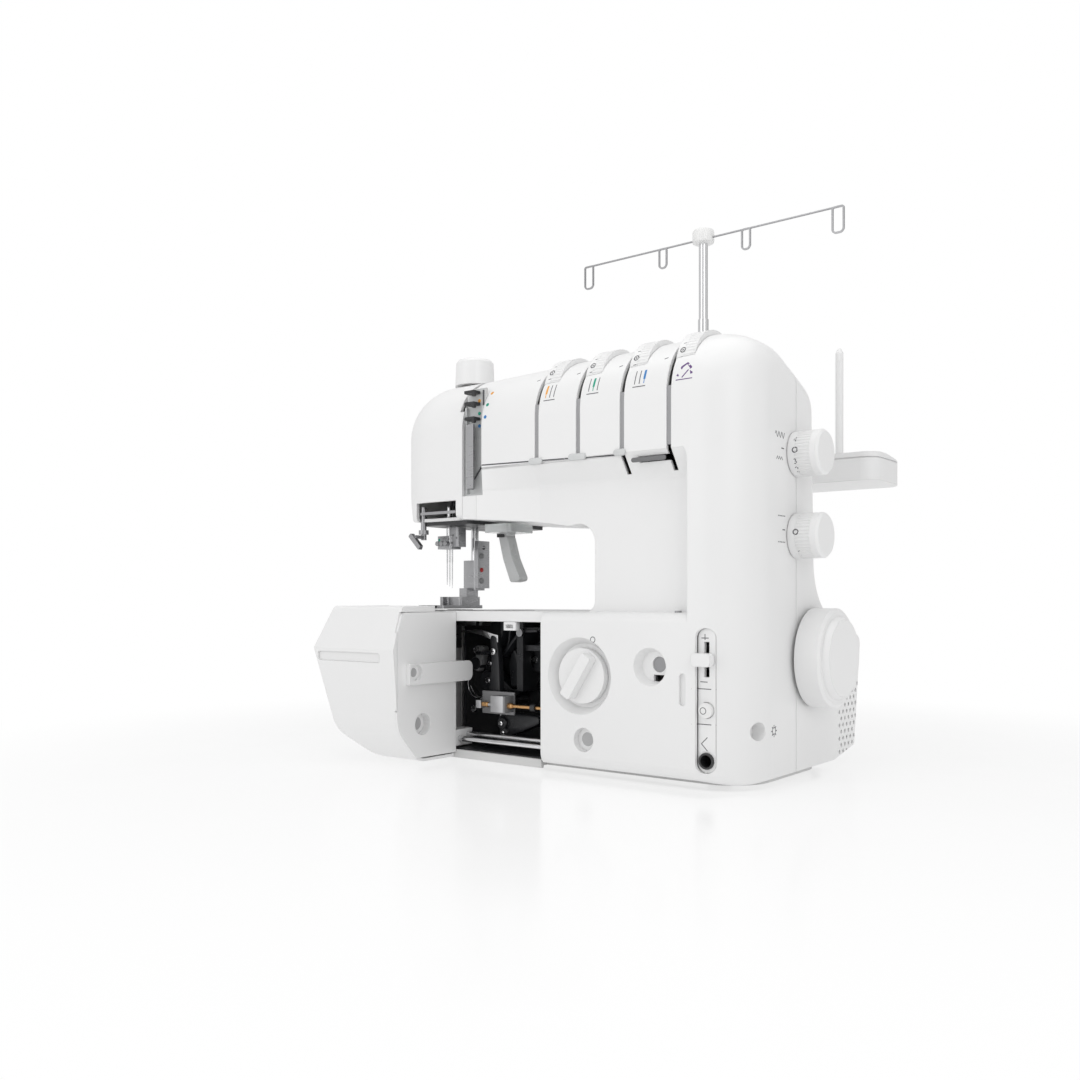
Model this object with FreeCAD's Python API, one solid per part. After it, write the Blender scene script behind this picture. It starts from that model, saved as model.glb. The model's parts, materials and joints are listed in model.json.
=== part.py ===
import FreeCAD, Part
import math
import os

# Overlock and coverstitch sewing machine with a raised thread stand.
# Millimetres.  X runs from the right wall (0) to the left (negative), Y from the
# front panel (0) to the back, Z up from the table (0).  save() moves every piece
# so that the origin is at the bottom centre of the whole machine.

# ---- driving dimensions -----------------------------------------------------
WALL = 3.0                    # thickness of the moulded casings
SEAM = 0.6                    # visible parting line between casings
BASE_Z = 3.0                  # underside of the casings, above the feet
TOP_Z = 347.0                 # crown of the tower
ARM_DROP = 7.0                # how much the arm's top falls towards the head
CORNER = 45.0                 # radius of the front right corner
LIP_Y = 6.5                   # front of the fixed lips behind the looper cover
BODY_Y = 88.0                 # parting plane between front and rear casing
COLUMN_X = -140.0             # left wall of the column
HEAD_X = -272.0               # seam between the arm and the face plate
HEAD_END_X = -355.0           # left end of the head
BASE_LEFT_X = -356.0          # left end of the rear base
BED_Z = 131.5                 # top of the bed
ARM_Z = 212.0                 # underside of the head
PANEL_X = -185.0              # left edge of the lower front panel
COVER_X = -285.0              # right wall of the looper cover at rest
COVER_LEFT_X = -386.0         # outermost ridge of the looper cover
COVER_FRONT_Y = -71.0         # front ridge of the looper cover
TRAY_RIGHT_X = 18.0
TRAY_LEFT_X = -334.0
TRAY_BACK_Y = 300.0
WHEEL_OUT_X = 28.0            # outer face of the handwheel
NEEDLE = (-317.0, 32.0)       # needle bar axis
PRESSER = (-307.0, 56.0)      # presser bar axis
SHAFT = (117.0, 95.0)         # main shaft, Y and Z
ARM_SHAFT = (45.0, 244.0)     # upper shaft, Y and Z
MOTOR = (188.0, 52.0)         # motor shaft, Y and Z
MAST = (-158.0, 225.0)        # thread stand mast
TENSION_X = -180.2            # middle of the first tension wheel
TENSION_PITCH = 42.2
TENSION_WIDTH = 16.0
TENSION_R = 36.0
TENSION_Y = 44.0
TENSION_DROP = 32.5           # wheel axis below the crown
SLOT_OFFSET = 9.0             # thread slot, left of the middle of its wheel
KNOB_Y = 88.0
KNOB_Z = (255.0, 191.0)
KNOB_R = 17.7
RECESS = 14.0                 # depth of the recessed column face
DIAL = (-146.0, 80.0)         # front dial, X and Z
CONE_RECESS = (-79.5, 90.0)   # conical recess of the front, X and Z
ROUND_RECESS = (-141.5, 29.0)
PANEL = (-40.0, -25.0, 13.0, 120.0)   # control strip: left, right, bottom, top
PANEL_MID = (PANEL[0] + PANEL[1]) / 2
SLIDER_Z = 97.0
SLIDER_SLOT = (84.0, 110.0)
BUTTON_Z = 59.5
KNEE_Z = 22.0
HOLE = (29.0, 43.6)           # small service hole in the right wall, Y and Z
INLET = (-100.0, -68.0, 50.0, 74.0)   # left, right, bottom, top
SWITCH = (-54.0, -36.0, 50.0, 74.0)
SWITCH_PIVOT_Y = 216.0
THREADER = (-329.0, 10.0)     # post of the needle threader
FEED_SLOTS = ((36.0, 57.0), (8.5, 27.6))
FEED_BARS = (-325.5, -317.0, -308.5)
LOOPER_PIVOT = (-262.0, 50.0)  # X and Z of the looper's rocking shaft
LIFTER_PIVOT = (-276.0, 203.0)  # X and Z of the lifter's pin
RAILS = ((14.0, 17.0), (25.0, 20.0))  # Y and Z of the looper cover's rails
RAIL_R = 2.5
BELT_X = (-100.0, -90.0)
MOTOR_BELT_X = (-54.0, -46.0)
PULLEY_R = 14.0
DRIVEN_R = 30.0
MOTOR_PULLEY_R = 9.0
BELT_THICK = 1.6
PIN_X = (-292.0, -203.0, -114.0, -25.0)
PIN_Y = 238.0
PIN_R = 3.5
PIN_STUB_R = 2.8              # foot of a spool pin, in the tray's hole
PIN_STEP_Z = 271.3            # where the pin widens, just above the tray
WIRE_Z = 495.0                # middle of the thread guide wire
WIRE_R = 0.95
LOOP_HALF = 0.8               # half thickness of the thread loops, a little less than the wire
CAP = (10.0, 491.0, 503.0)    # mast cap: radius, underside, top
MAST_LOWER = (7.5, 6.7, 246.0, 350.0)     # outer radius, bore, bottom, top
MAST_MIDDLE = (5.2, 4.45, 336.0, 416.0)
MAST_TOP = (4.4, 402.0)       # radius and bottom of the inner rod
GUIDE_LOOPS = ((137.0, 24.0, 12.0), (46.0, 20.0, 10.0))   # reach, height, width of each pair of loops
RECESS_RIGHT = -47.0          # right edge of the recessed column face
LEDGE_R = 8.0                 # rounding in front of the recessed face
TRAY_STEP = (-52.0, 212.0)    # inner corner where the tray narrows beside the tower, X and Y
FIT = 0.05                    # radial clearance of a shaft in its bush
GAP = 0.5                     # clearance between moving pieces

ORIGIN = FreeCAD.Vector(-(COVER_LEFT_X + WHEEL_OUT_X) / 2, -(COVER_FRONT_Y + TRAY_BACK_Y) / 2, 0)

# Side outline of the machine: (y, z, corner radius), clockwise from the front foot.
SIDE = [(0, BASE_Z, 12), (0, TOP_Z, 50), (62, TOP_Z, 40), (128, TOP_Z - 25, 30),
        (134, 140, 40), (237, 112, 18), (222, 12, 10), (175, BASE_Z, 30)]
# How far each edge of SIDE draws in over the rounded right end.
RIGHT_DRAW = [CORNER, 30, 26, 12, 8, 14, 6, 4]
ARM_SIDE = [(0, ARM_Z, 6), (0, TOP_Z, 50), (62, TOP_Z, 40), (128, TOP_Z - 25, 30), (131.6, ARM_Z, 8)]
LEFT_DRAW = [28, 34, 30, 16, 3]
END_STEPS = 6


# ---- geometry helpers -------------------------------------------------------
def vec(x, y, z):
    return FreeCAD.Vector(x, y, z)


def box(x0, x1, y0, y1, z0, z1):
    return Part.makeBox(x1 - x0, y1 - y0, z1 - z0, vec(x0, y0, z0))


def rod(axis, a, b, radius, start, end):
    """Cylinder along X, Y or Z.  a and b are the other two coordinates, in order."""
    base = {"x": vec(start, a, b), "y": vec(a, start, b), "z": vec(a, b, start)}[axis]
    way = {"x": vec(1, 0, 0), "y": vec(0, 1, 0), "z": vec(0, 0, 1)}[axis]
    return Part.makeCylinder(radius, end - start, base, way)


def cone(axis, a, b, r_start, r_end, start, end):
    base = {"x": vec(start, a, b), "y": vec(a, start, b), "z": vec(a, b, start)}[axis]
    way = {"x": vec(1, 0, 0), "y": vec(0, 1, 0), "z": vec(0, 0, 1)}[axis]
    return Part.makeCone(r_start, r_end, end - start, base, way)


def ring(axis, a, b, outer, inner, start, end):
    return rod(axis, a, b, outer, start, end).cut(rod(axis, a, b, inner, start - 1, end + 1))


def join(*solids):
    result = solids[0]
    for solid in solids[1:]:
        result = result.fuse(solid)
    return result.removeSplitter()


def offset_corners(corners, inset):
    """Moves each edge of a rounded polygon inwards, and keeps its radii concentric."""
    count = len(corners)
    insets = inset if isinstance(inset, list) else [inset] * count
    area = sum(corners[i][0] * corners[(i + 1) % count][1] - corners[(i + 1) % count][0] * corners[i][1]
               for i in range(count))
    side = 1 if area > 0 else -1
    lines = []
    for i in range(count):
        u0, v0 = corners[i][:2]
        u1, v1 = corners[(i + 1) % count][:2]
        length = math.hypot(u1 - u0, v1 - v0)
        du, dv = (u1 - u0) / length, (v1 - v0) / length
        lines.append((u0 - side * dv * insets[i], v0 + side * du * insets[i], du, dv))
    moved = []
    for i in range(count):
        u0, v0, du0, dv0 = lines[i - 1]
        u1, v1, du1, dv1 = lines[i]
        cross = du0 * dv1 - dv0 * du1
        along = ((u1 - u0) * dv1 - (v1 - v0) * du1) / cross
        drawn = (insets[i - 1] + insets[i]) / 2
        radius = corners[i][2] - drawn if side * cross > 0 else corners[i][2] + drawn
        moved.append((u0 + along * du0, v0 + along * dv0, max(radius, 0.4)))
    return moved


def place(plane, u, v, at):
    """A point of a flat outline, in space: YZ, XZ or XY at a given third coordinate."""
    return {"yz": vec(at, u, v), "xz": vec(u, at, v), "xy": vec(u, v, at)}[plane]


def outline(corners, plane, at, inset=0):
    """Closed wire of straight edges and corner arcs."""
    corners = offset_corners(corners, inset)
    count = len(corners)
    joints = []
    for i in range(count):
        u, v, radius = corners[i]
        before, after = corners[i - 1], corners[(i + 1) % count]
        len_in = math.hypot(u - before[0], v - before[1])
        len_out = math.hypot(after[0] - u, after[1] - v)
        in_u, in_v = (u - before[0]) / len_in, (v - before[1]) / len_in
        out_u, out_v = (after[0] - u) / len_out, (after[1] - v) / len_out
        turn = math.acos(max(-1, min(1, in_u * out_u + in_v * out_v)))
        cut = min(radius * math.tan(turn / 2), 0.48 * len_in, 0.48 * len_out)
        if radius > 2:
            cut = min(radius * math.tan(turn / 2), len_in * 0.98, len_out * 0.98)
        radius = cut / math.tan(turn / 2)
        mid_u, mid_v = out_u - in_u, out_v - in_v
        mid_len = math.hypot(mid_u, mid_v)
        reach = radius / math.cos(turn / 2)
        centre = (u + mid_u / mid_len * reach, v + mid_v / mid_len * reach)
        middle = (centre[0] - mid_u / mid_len * radius, centre[1] - mid_v / mid_len * radius)
        joints.append(((u - in_u * cut, v - in_v * cut), middle, (u + out_u * cut, v + out_v * cut)))
    edges = []
    for i in range(count):
        start, middle, end = joints[i]
        following = joints[(i + 1) % count][0]
        arc = [place(plane, *point, at) for point in (start, middle, end)]
        edges.append(Part.Arc(*arc).toShape())
        edges.append(Part.LineSegment(arc[2], place(plane, *following, at)).toShape())
    return Part.Wire(edges)


def prism(corners, plane, start, end, inset=0):
    face = Part.Face(outline(corners, plane, start, inset))
    way = {"yz": vec(1, 0, 0), "xz": vec(0, 1, 0), "xy": vec(0, 0, 1)}[plane]
    return face.extrude(way * (end - start))


def rounded_box(x0, x1, y0, y1, z0, z1, radius):
    return prism([(x0, y0, radius), (x1, y0, radius), (x1, y1, radius), (x0, y1, radius)], "xy", z0, z1)


def crown(corners, x):
    """The outline with its crown lowered to the height that the arm has at x."""
    drop = ARM_DROP * (-CORNER - x) / (-CORNER - HEAD_X)
    return [(y, z - drop, r) if z > ARM_Z + 1 else (y, z, r) for y, z, r in corners]


def top_at(x):
    return TOP_Z - ARM_DROP * (-CORNER - x) / (-CORNER - HEAD_X)


def rounded_end(corners, draw, x_start, x_end, inset):
    """Loft that draws the outline in over a quarter ellipse, towards x_end."""
    wires = []
    base = inset if isinstance(inset, list) else [inset] * len(corners)
    for step in range(END_STEPS + 1):
        angle = math.pi / 2 * step / END_STEPS
        insets = [start + d * (1 - math.cos(angle)) for start, d in zip(base, draw)]
        wires.append(outline(corners, "yz", x_start + (x_end - x_start) * math.sin(angle), insets))
    return Part.makeLoft(wires, True, False)


def save(name, *solids):
    shape = solids[0] if len(solids) == 1 else Part.makeCompound(list(solids))
    shape = shape.copy()
    shape.translate(ORIGIN)
    shape.exportStep("parts/" + name + ".step")


# ---- casings ----------------------------------------------------------------
def throat(grow):
    """The space between bed and arm, as a cutter."""
    corners = [(-440, BED_Z, 0.5), (COLUMN_X, BED_Z, 9), (COLUMN_X, 206, 16), (-166, 202, 20),
               (-200, 207, 30), (HEAD_X, ARM_Z, 6), (-440, ARM_Z, 0.5)]
    return prism(corners, "xz", -20, 260, -grow)


def column_recess(grow):
    """The front face steps back over the column and fades out along the arm."""
    right = RECESS_RIGHT + grow
    low = BED_Z - grow

    def section(depth):
        return [(-20, low, 0.5), (depth + grow, low, 0.5), (depth + grow, 236, 10), (0, 256 + grow, 2),
                (-20, 256 + grow, 0.5)]
    ends = [outline(section(0.2), "yz", -256), outline(section(RECESS), "yz", -196)]
    fade = Part.makeLoft(ends, True, True)
    straight = prism(section(RECESS), "yz", -196, right)
    arch = [(-300, low - 10, 0.5), (right, low - 10, 0.5), (right, 262, 16), (-300, 262, 0.5)]
    return fade.fuse(straight).common(prism(arch, "xz", -30, 40))


def bed_front_round(inset):
    """Cutter that rounds the front edge of the bed in front of the column."""
    reach = LEDGE_R + inset
    corner = box(-200, RECESS_RIGHT + inset, -1, reach, BED_Z - reach, BED_Z + 2)
    return corner.cut(rod("x", reach, BED_Z - reach, LEDGE_R, -201, 0))


def casing(inset, open_bottom=False):
    """Solid form of the machine body, drawn in by inset."""
    insets = [inset] * len(SIDE)
    if open_bottom:
        insets[7] = -6
    low = crown(SIDE, HEAD_X)
    body = Part.makeLoft([outline(low, "yz", HEAD_X - (4 if inset else 0), insets),
                          outline(SIDE, "yz", -CORNER, insets)], True, True)
    base = prism(SIDE, "yz", BASE_LEFT_X + inset, HEAD_X + 1, insets)
    base = base.common(box(-400, 0, -10, 260, -20, 150))
    end = rounded_end(SIDE, RIGHT_DRAW, -CORNER, -inset, insets)
    form = body.fuse(base).fuse(end)
    form = form.cut(throat(inset))
    form = form.cut(column_recess(inset))
    return form.cut(bed_front_round(inset))


def head_form(inset):
    """Solid form of the head, left of the seam."""
    side = crown(ARM_SIDE, HEAD_X)
    straight = prism(side, "yz", -312, HEAD_X, inset)
    end = rounded_end(side, LEFT_DRAW, -312, HEAD_END_X + inset, inset)
    form = straight.fuse(end)
    front = [(HEAD_X + 2, 180, 0.5), (-326, 180, 0.5), (-338, ARM_Z, 3), (HEAD_END_X, 261, 14),
             (-346, 318, 30), (-322, 346, 30), (HEAD_X + 2, 352, 0.5)]
    return form.common(prism(front, "xz", -10, 200, inset))


def tension_places():
    return [TENSION_X + TENSION_PITCH * i for i in range(4)]


def cut_tension_windows(shell):
    for x in tension_places():
        half = TENSION_WIDTH / 2 + GAP
        window = rod("x", TENSION_Y, top_at(x) - TENSION_DROP, TENSION_R + 0.8, x - half, x + half)
        shell = shell.cut(window)
        slot_x = x - SLOT_OFFSET
        low = 240 if x > -120 else 256
        shell = shell.cut(box(slot_x - 2, slot_x + 2, -5, 72, low, 360))
    seam = box(-252, -106, -1, 2.2, 253.8, 255.4)
    window = box(-92, -62, 0, 14, 247.5, 252)
    return shell.cut(seam).cut(window)


def front_features(shell, outer):
    """Recesses, bores and the control strip of the lower front."""
    shell = shell.cut(cone("y", *DIAL, 31, 26.0, -0.1, 9))
    bowl = cone("y", *DIAL, 33.5, 28.5, 1, 11.5).cut(cone("y", *DIAL, 31, 26.0, -0.1, 9))
    shell = shell.fuse(bowl.cut(rod("y", *DIAL, 6.2, 5, 12)))
    shell = shell.cut(cone("y", *CONE_RECESS, 14.5, 11.5, -0.1, 8))
    cup = cone("y", *CONE_RECESS, 17.5, 14.5, 2, 11).cut(cone("y", *CONE_RECESS, 14.5, 11.5, -0.1, 8))
    cup = cup.cut(rod("y", CONE_RECESS[0] + 4, CONE_RECESS[1] + 1.6, 6, 5, 12))
    cup = cup.cut(box(CONE_RECESS[0] - 1, CONE_RECESS[0] + 9, 5, 12, 78.5, 83.5))
    shell = shell.fuse(cup)
    shell = shell.cut(rod("y", *ROUND_RECESS, 9.5, -0.1, 6))
    shell = shell.fuse(ring("y", *ROUND_RECESS, 11.5, 9.5, 2.9, 7)).fuse(rod("y", *ROUND_RECESS, 11.5, 6, 8))
    shell = shell.cut(rounded_slot_y(PANEL, -5, 12, 7))
    shell = shell.cut(rounded_slot_y((-53.5, -48.5, 62, 86), -1, 2.2, 2.4))
    shell = shell.cut(rod("x", *HOLE, 6.8, -12, 5))
    cup = ring("x", *HOLE, 8.3, 6.8, -11, 2).fuse(rod("x", *HOLE, 8.3, -12.5, -11))
    return shell.fuse(cup.common(outer))


def rounded_slot_y(rect, y0, y1, radius):
    x0, x1, z0, z1 = rect
    corners = [(x0, z0, radius), (x1, z0, radius), (x1, z1, radius), (x0, z1, radius)]
    return prism(corners, "xz", y0, y1)


def knob_holes(shell):
    for z in KNOB_Z:
        shell = shell.cut(rod("x", KNOB_Y, z, 7, -10, 5))
    return shell.cut(rod("x", *SHAFT, 12, -12, 5))


def vent_holes(shell):
    rows = 11
    for row in range(rows):
        z = 12 + row * 5.6
        for col in range(8):
            y = 176 + col * 8 + (row % 2) * 4
            if y > 231 or row - col * 1.4 > 6.5:
                continue
            shell = shell.cut(rod("x", y, z, 1.7, -24, 5))
    return shell


def casings():
    outer = casing(0)
    inner = casing(WALL, open_bottom=True)
    shell = outer.cut(inner)
    front = shell.common(box(-400, 20, -5, BODY_Y, -5, 400))
    front = front.cut(box(-400, PANEL_X, -5, 100, -5, 150))
    front = front_features(front, outer)
    front = cut_tension_windows(front)
    front = front.cut(thread_channel_cutter())
    rear = shell.common(box(-400, 20, BODY_Y + SEAM, 260, -5, 400))
    rear = vent_holes(rear)
    rear = rear.cut(rounded_slot_y(INLET, 200, 260, 2)).cut(rounded_slot_y(SWITCH, 200, 260, 2))
    front, rear = knob_holes(front), knob_holes(rear)
    save("front_cover", front)
    save("rear_cover", rear)
    return outer


def thread_channel_cutter():
    return box(-271.9, -250, -5, 9, 232, 326)


def face_plate():
    shell = head_form(0).cut(head_form(WALL))
    shell = shell.cut(box(HEAD_X - WALL - 2, HEAD_X + 5, WALL, 128 - WALL, ARM_Z + WALL, 337))
    shell = shell.cut(box(-331, HEAD_X - 8, -5, 8, 205, 229))
    for x, y, r in ((*NEEDLE, 12), (*PRESSER, 9)):
        shell = shell.cut(rod("z", x, y, r, 200, 240))
    shell = shell.cut(rod("z", *THREADER, 3.4, 200, 232))
    shell = shell.cut(rod("z", *PRESSER, 7.5, 320, 350))
    save("face_plate", shell.common(box(-400, HEAD_X - SEAM / 2, -10, 200, 0, 400)))


def base_and_feet():
    plate = rounded_box(-352, -4.2, 14, 157, BASE_Z, BASE_Z + 3, 36)
    lip = box(-350, -189, LIP_Y, LIP_Y + 3, 1.0, 8.0).fuse(box(-350, -189, LIP_Y, 20, BASE_Z, BASE_Z + 2.5))
    save("base_plate", join(plate, lip))
    feet = [cone("z", x, y, 8, 10, 0, BASE_Z) for x in (-318, -40) for y in (38, 142)]
    save("rubber_feet", *feet)


def bed_parts():
    bed = rounded_box(-356, PANEL_X - 0.3, 8, BODY_Y, BED_Z - 5.5, BED_Z, 3)
    plate_hole = rounded_box(-331, -241, 7, 66, 100, 140, 4)
    bed = bed.cut(plate_hole)
    lip = box(-326, PANEL_X - 0.3, LIP_Y, 8.5, BED_Z - 9, BED_Z)
    bed = bed.fuse(lip).cut(plate_hole)
    save("bed_cover", bed)
    plate = rounded_box(-330.8, -241.2, 7.2, 65.8, BED_Z - 3, BED_Z + 0.3, 3.8)
    for y0, y1 in FEED_SLOTS:
        for x in FEED_BARS:
            plate = plate.cut(box(x - 2.6, x + 2.6, y0, y1, 120, 140))
    x, y = NEEDLE
    save("needle_plate", plate.cut(rounded_box(x - 5.5, x + 5.5, y - 2.6, y + 2.6, 120, 140, 2.4)))
    catch = rounded_box(-231, -217, LIP_Y, 13, 115, 122.3, 1.5).cut(box(-228, -220, 0, 11, 117, 120))
    save("cover_catch", catch)


def looper_housing():
    back = box(-338, -189, 76, 79, 9, 125.5)
    floor = box(-338, -189, 10, 79, 6.2, 9)
    right = box(-188.9, -185.6, LIP_Y, 79, 6.2, 122)
    cast = join(back, floor, right.fuse(box(-190, -185.6, 60, 79, 6.2, 122)))
    shelf = box(-240, -189, 44, 76, 96, 101)
    rib = box(-243, -236, 40, 76, 60, 125.5)
    cast = join(cast, shelf, rib)
    cast = cast.cut(rod("x", 60, 88, 9, -245, -232))
    cast = cast.cut(box(-190, -185, 5, 24.5, 67.5, 88.5))
    cast = cast.cut(rod("y", *LOOPER_PIVOT, 5 + FIT, 70, 85))
    save("looper_housing", cast)


def free_arm():
    left = box(-356, -353.4, 8, BODY_Y, BASE_Z, BED_Z - 5.6)
    front = box(-356, -287.5, 8, 10.6, 29, BED_Z - 5.6)
    shell = join(left, front)
    shell = shell.common(rounded_box(-356, -287.5, 8, BODY_Y + 20, 0, 140, 8))
    save("free_arm_shell", shell)
    rails = [rod("x", y, z, RAIL_R, -353.3, -189) for y, z in RAILS]
    save("cover_rails", *rails)


# ---- looper cover -----------------------------------------------------------
COVER_FRONT = [(COVER_X, 2, 1), (COVER_X, 136, 1), (-371, 136, 3), (COVER_LEFT_X, 99, 0.5), (-362, 23, 20),
               (-335, 2, 24)]
COVER_SIDE = [(6, 2, 1), (6, 136, 1), (-60, 136, 4), (COVER_FRONT_Y, 99, 0.5), (-65, 30, 26), (-40, 2, 22)]


def cover_form(inset):
    front = prism(COVER_FRONT, "xz", -90, 6, inset)
    side = prism(COVER_SIDE, "yz", -400, COVER_X - inset, inset)
    corner = [(-400, -90, 1), (COVER_X - inset, -90, 1), (COVER_X - inset, 20, 1), (-400, 20, 1)]
    return front.common(side).common(prism(corner, "xy", -5, 150))


def looper_cover():
    wall = 2.4
    shell = cover_form(0).cut(cover_form(wall)).cut(box(-383, COVER_X - wall, 3.5, 7, 5, 133))
    shell = shell.cut(box(COVER_X - wall, COVER_X + 1, -66.5, 10, -1, 130.8))
    shell = shell.cut(box(-366, COVER_X + 1, -21, 10, 120, 140)).cut(box(-390, -365, 1.5, 10, 129, 140))
    groove = rounded_slot_y((-381, -302, 88, 96), -80, -68.6, 2.5)
    shell = shell.cut(groove)
    save("looper_cover", shell)
    frame_wall = box(COVER_X - wall, COVER_X, -66.3, 6, 6, 130.5)
    side = prism([(y, min(z, 130.5), r) for y, z, r in COVER_SIDE], "yz", COVER_X - wall, COVER_X, 0)
    frame = frame_wall.common(side)
    frame = frame.fuse(box(-364, COVER_X, -56, 6, 128.2, 130.5))
    bar = prism([(-56, 69, 1), (23, 69, 6), (23, 87, 6), (-56, 87, 1)], "yz", COVER_X - 1, COVER_X + 4.5)
    frame = frame.fuse(bar)
    frame = frame.fuse(box(-336, COVER_X, -40, 6, 10.5, 13.5))
    for x in (-334, -301):
        frame = frame.fuse(box(x, x + 13, -10, 31, 10.5, 25))
    for y, z in RAILS:
        frame = frame.cut(rod("x", y, z, RAIL_R + FIT, -360, -280))
    frame = frame.cut(rod("x", -48, 79.5, 6.8, COVER_X + 0.5, COVER_X + 6))
    frame = frame.cut(rod("x", -36, 34.6, 9.25, COVER_X - 5, COVER_X + 6))
    frame = frame.fuse(ring("x", -36, 34.6, 11, 9.25, COVER_X - 8, COVER_X - 0.6))
    frame = frame.fuse(rod("x", -36, 34.6, 11, COVER_X - 9.5, COVER_X - 8))
    save("cover_frame", frame.removeSplitter())


# ---- drive ------------------------------------------------------------------
def belt(first, second, r_first, r_second, x0, x1):
    """Endless belt round two pulleys, just clear of both."""
    def loop(extra):
        y0, z0 = first
        y1, z1 = second
        r0, r1 = r_first + extra, r_second + extra
        run = math.hypot(y1 - y0, z1 - z0)
        heading = math.atan2(z1 - z0, y1 - y0)
        lean = math.acos((r0 - r1) / run)
        points = []
        for sign in (1, -1):
            angle = heading + sign * lean
            points.append((vec(x0, y0 + r0 * math.cos(angle), z0 + r0 * math.sin(angle)),
                           vec(x0, y1 + r1 * math.cos(angle), z1 + r1 * math.sin(angle))))
        back = vec(x0, y0 - r0 * math.cos(heading), z0 - r0 * math.sin(heading))
        far = vec(x0, y1 + r1 * math.cos(heading), z1 + r1 * math.sin(heading))
        edges = [Part.LineSegment(points[0][0], points[0][1]).toShape(),
                 Part.Arc(points[0][1], far, points[1][1]).toShape(),
                 Part.LineSegment(points[1][1], points[1][0]).toShape(),
                 Part.Arc(points[1][0], back, points[0][0]).toShape()]
        return Part.Face(Part.Wire(edges)).extrude(vec(x1 - x0, 0, 0))
    return loop(0.4 + BELT_THICK).cut(loop(0.4))


def drive():
    shaft = rod("x", *SHAFT, 6, -256, 2)
    pulley = rod("x", *SHAFT, PULLEY_R, BELT_X[0] + 0.8, BELT_X[1] - 0.8)
    driven = rod("x", *SHAFT, DRIVEN_R, MOTOR_BELT_X[0] + 0.6, MOTOR_BELT_X[1] - 0.6)
    for start in (BELT_X[0], BELT_X[1] - 0.8):
        pulley = pulley.fuse(rod("x", *SHAFT, PULLEY_R + 0.2, start, start + 0.8))
    save("main_shaft", join(shaft, pulley, driven))
    upper = rod("x", *ARM_SHAFT, 5, -296, -84)
    upper_pulley = rod("x", *ARM_SHAFT, PULLEY_R, BELT_X[0] + 0.8, BELT_X[1] - 0.8)
    disc = rod("x", *ARM_SHAFT, 15, -303, -296)
    save("upper_shaft", join(upper, upper_pulley, disc))
    save("timing_belt", belt(ARM_SHAFT, SHAFT, PULLEY_R, PULLEY_R, *BELT_X))
    save("motor_belt", belt(MOTOR, SHAFT, MOTOR_PULLEY_R, DRIVEN_R, *MOTOR_BELT_X))
    save("motor_pulley", join(rod("x", *MOTOR, 3, -70, MOTOR_BELT_X[1] + 2),
                              rod("x", *MOTOR, MOTOR_PULLEY_R, MOTOR_BELT_X[0] + 0.6, MOTOR_BELT_X[1] - 0.6)))
    can = rod("x", *MOTOR, 27, -150, -66).cut(rod("x", *MOTOR, 3 + FIT, -71, -60))
    foot = box(-140, -80, MOTOR[0] - 20, MOTOR[0] + 14, 17, 32)
    save("motor_body", join(can, foot).cut(rod("x", *MOTOR, 3 + FIT, -71, -60)))


def main_frame():
    """Cast frame: base rails, column post and arm beam, with bosses for the shafts."""
    floor = box(-330, -30, 92, 160, 9.2, 15)
    post = box(-132, -108, 58, 112, 15, 262)
    foot = box(-140, -104, 58, 160, 9.2, 60)
    beam = box(-330, -20, 92, 112, 232, 300)
    wall = box(-252, -246.4, 92, 140, 15, 118)
    nose = box(-330, -306, 64, 92, 262, 300)
    frame = join(floor, foot, post, beam, wall, nose)
    boss = box(-132, -122, 30, 62, 230, 258)
    left_boss = box(-292, -276, 32, 94, 230, 262)
    frame = join(frame, boss, left_boss)
    motor_rest = box(-142, -78, 158, MOTOR[0] + 14, 13, 17).fuse(box(-142, -78, 150, 162, 9.2, 17))
    frame = join(frame, motor_rest)
    right_post = box(-38, -30, 92, 140, 15, 120)
    frame = join(frame, right_post)
    for y, z, r in ((*SHAFT, 9), (*ARM_SHAFT, 8)):
        frame = frame.cut(rod("x", y, z, r, -340, 10))
    save("main_frame", frame)
    bushes = [ring("x", *SHAFT, 9, 6 + FIT, x, x + w) for x, w in ((-252, 5.6), (-132, 24), (-38, 8))]
    bushes += [ring("x", *ARM_SHAFT, 8, 5 + FIT, x, x + w) for x, w in ((-132, 10), (-292, 16))]
    bushes.append(ring("z", *MAST, MAST_LOWER[1], MAST_MIDDLE[0] + FIT, MAST_LOWER[3] - 12, MAST_LOWER[3]))
    save("shaft_bushes", *bushes)


def handwheel():
    rim = rod("x", *SHAFT, 39.5, 3, 21)
    crown_cap = cone("x", *SHAFT, 39.5, 37.0, 21, 23)
    cap = cone("x", *SHAFT, 33, 30.5, 23, WHEEL_OUT_X)
    wheel = join(rim, crown_cap, cap)
    wheel = wheel.cut(rod("x", *SHAFT, 30, 2, 10)).fuse(rod("x", *SHAFT, 11, 2, 11))
    save("handwheel", wheel.removeSplitter())


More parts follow.
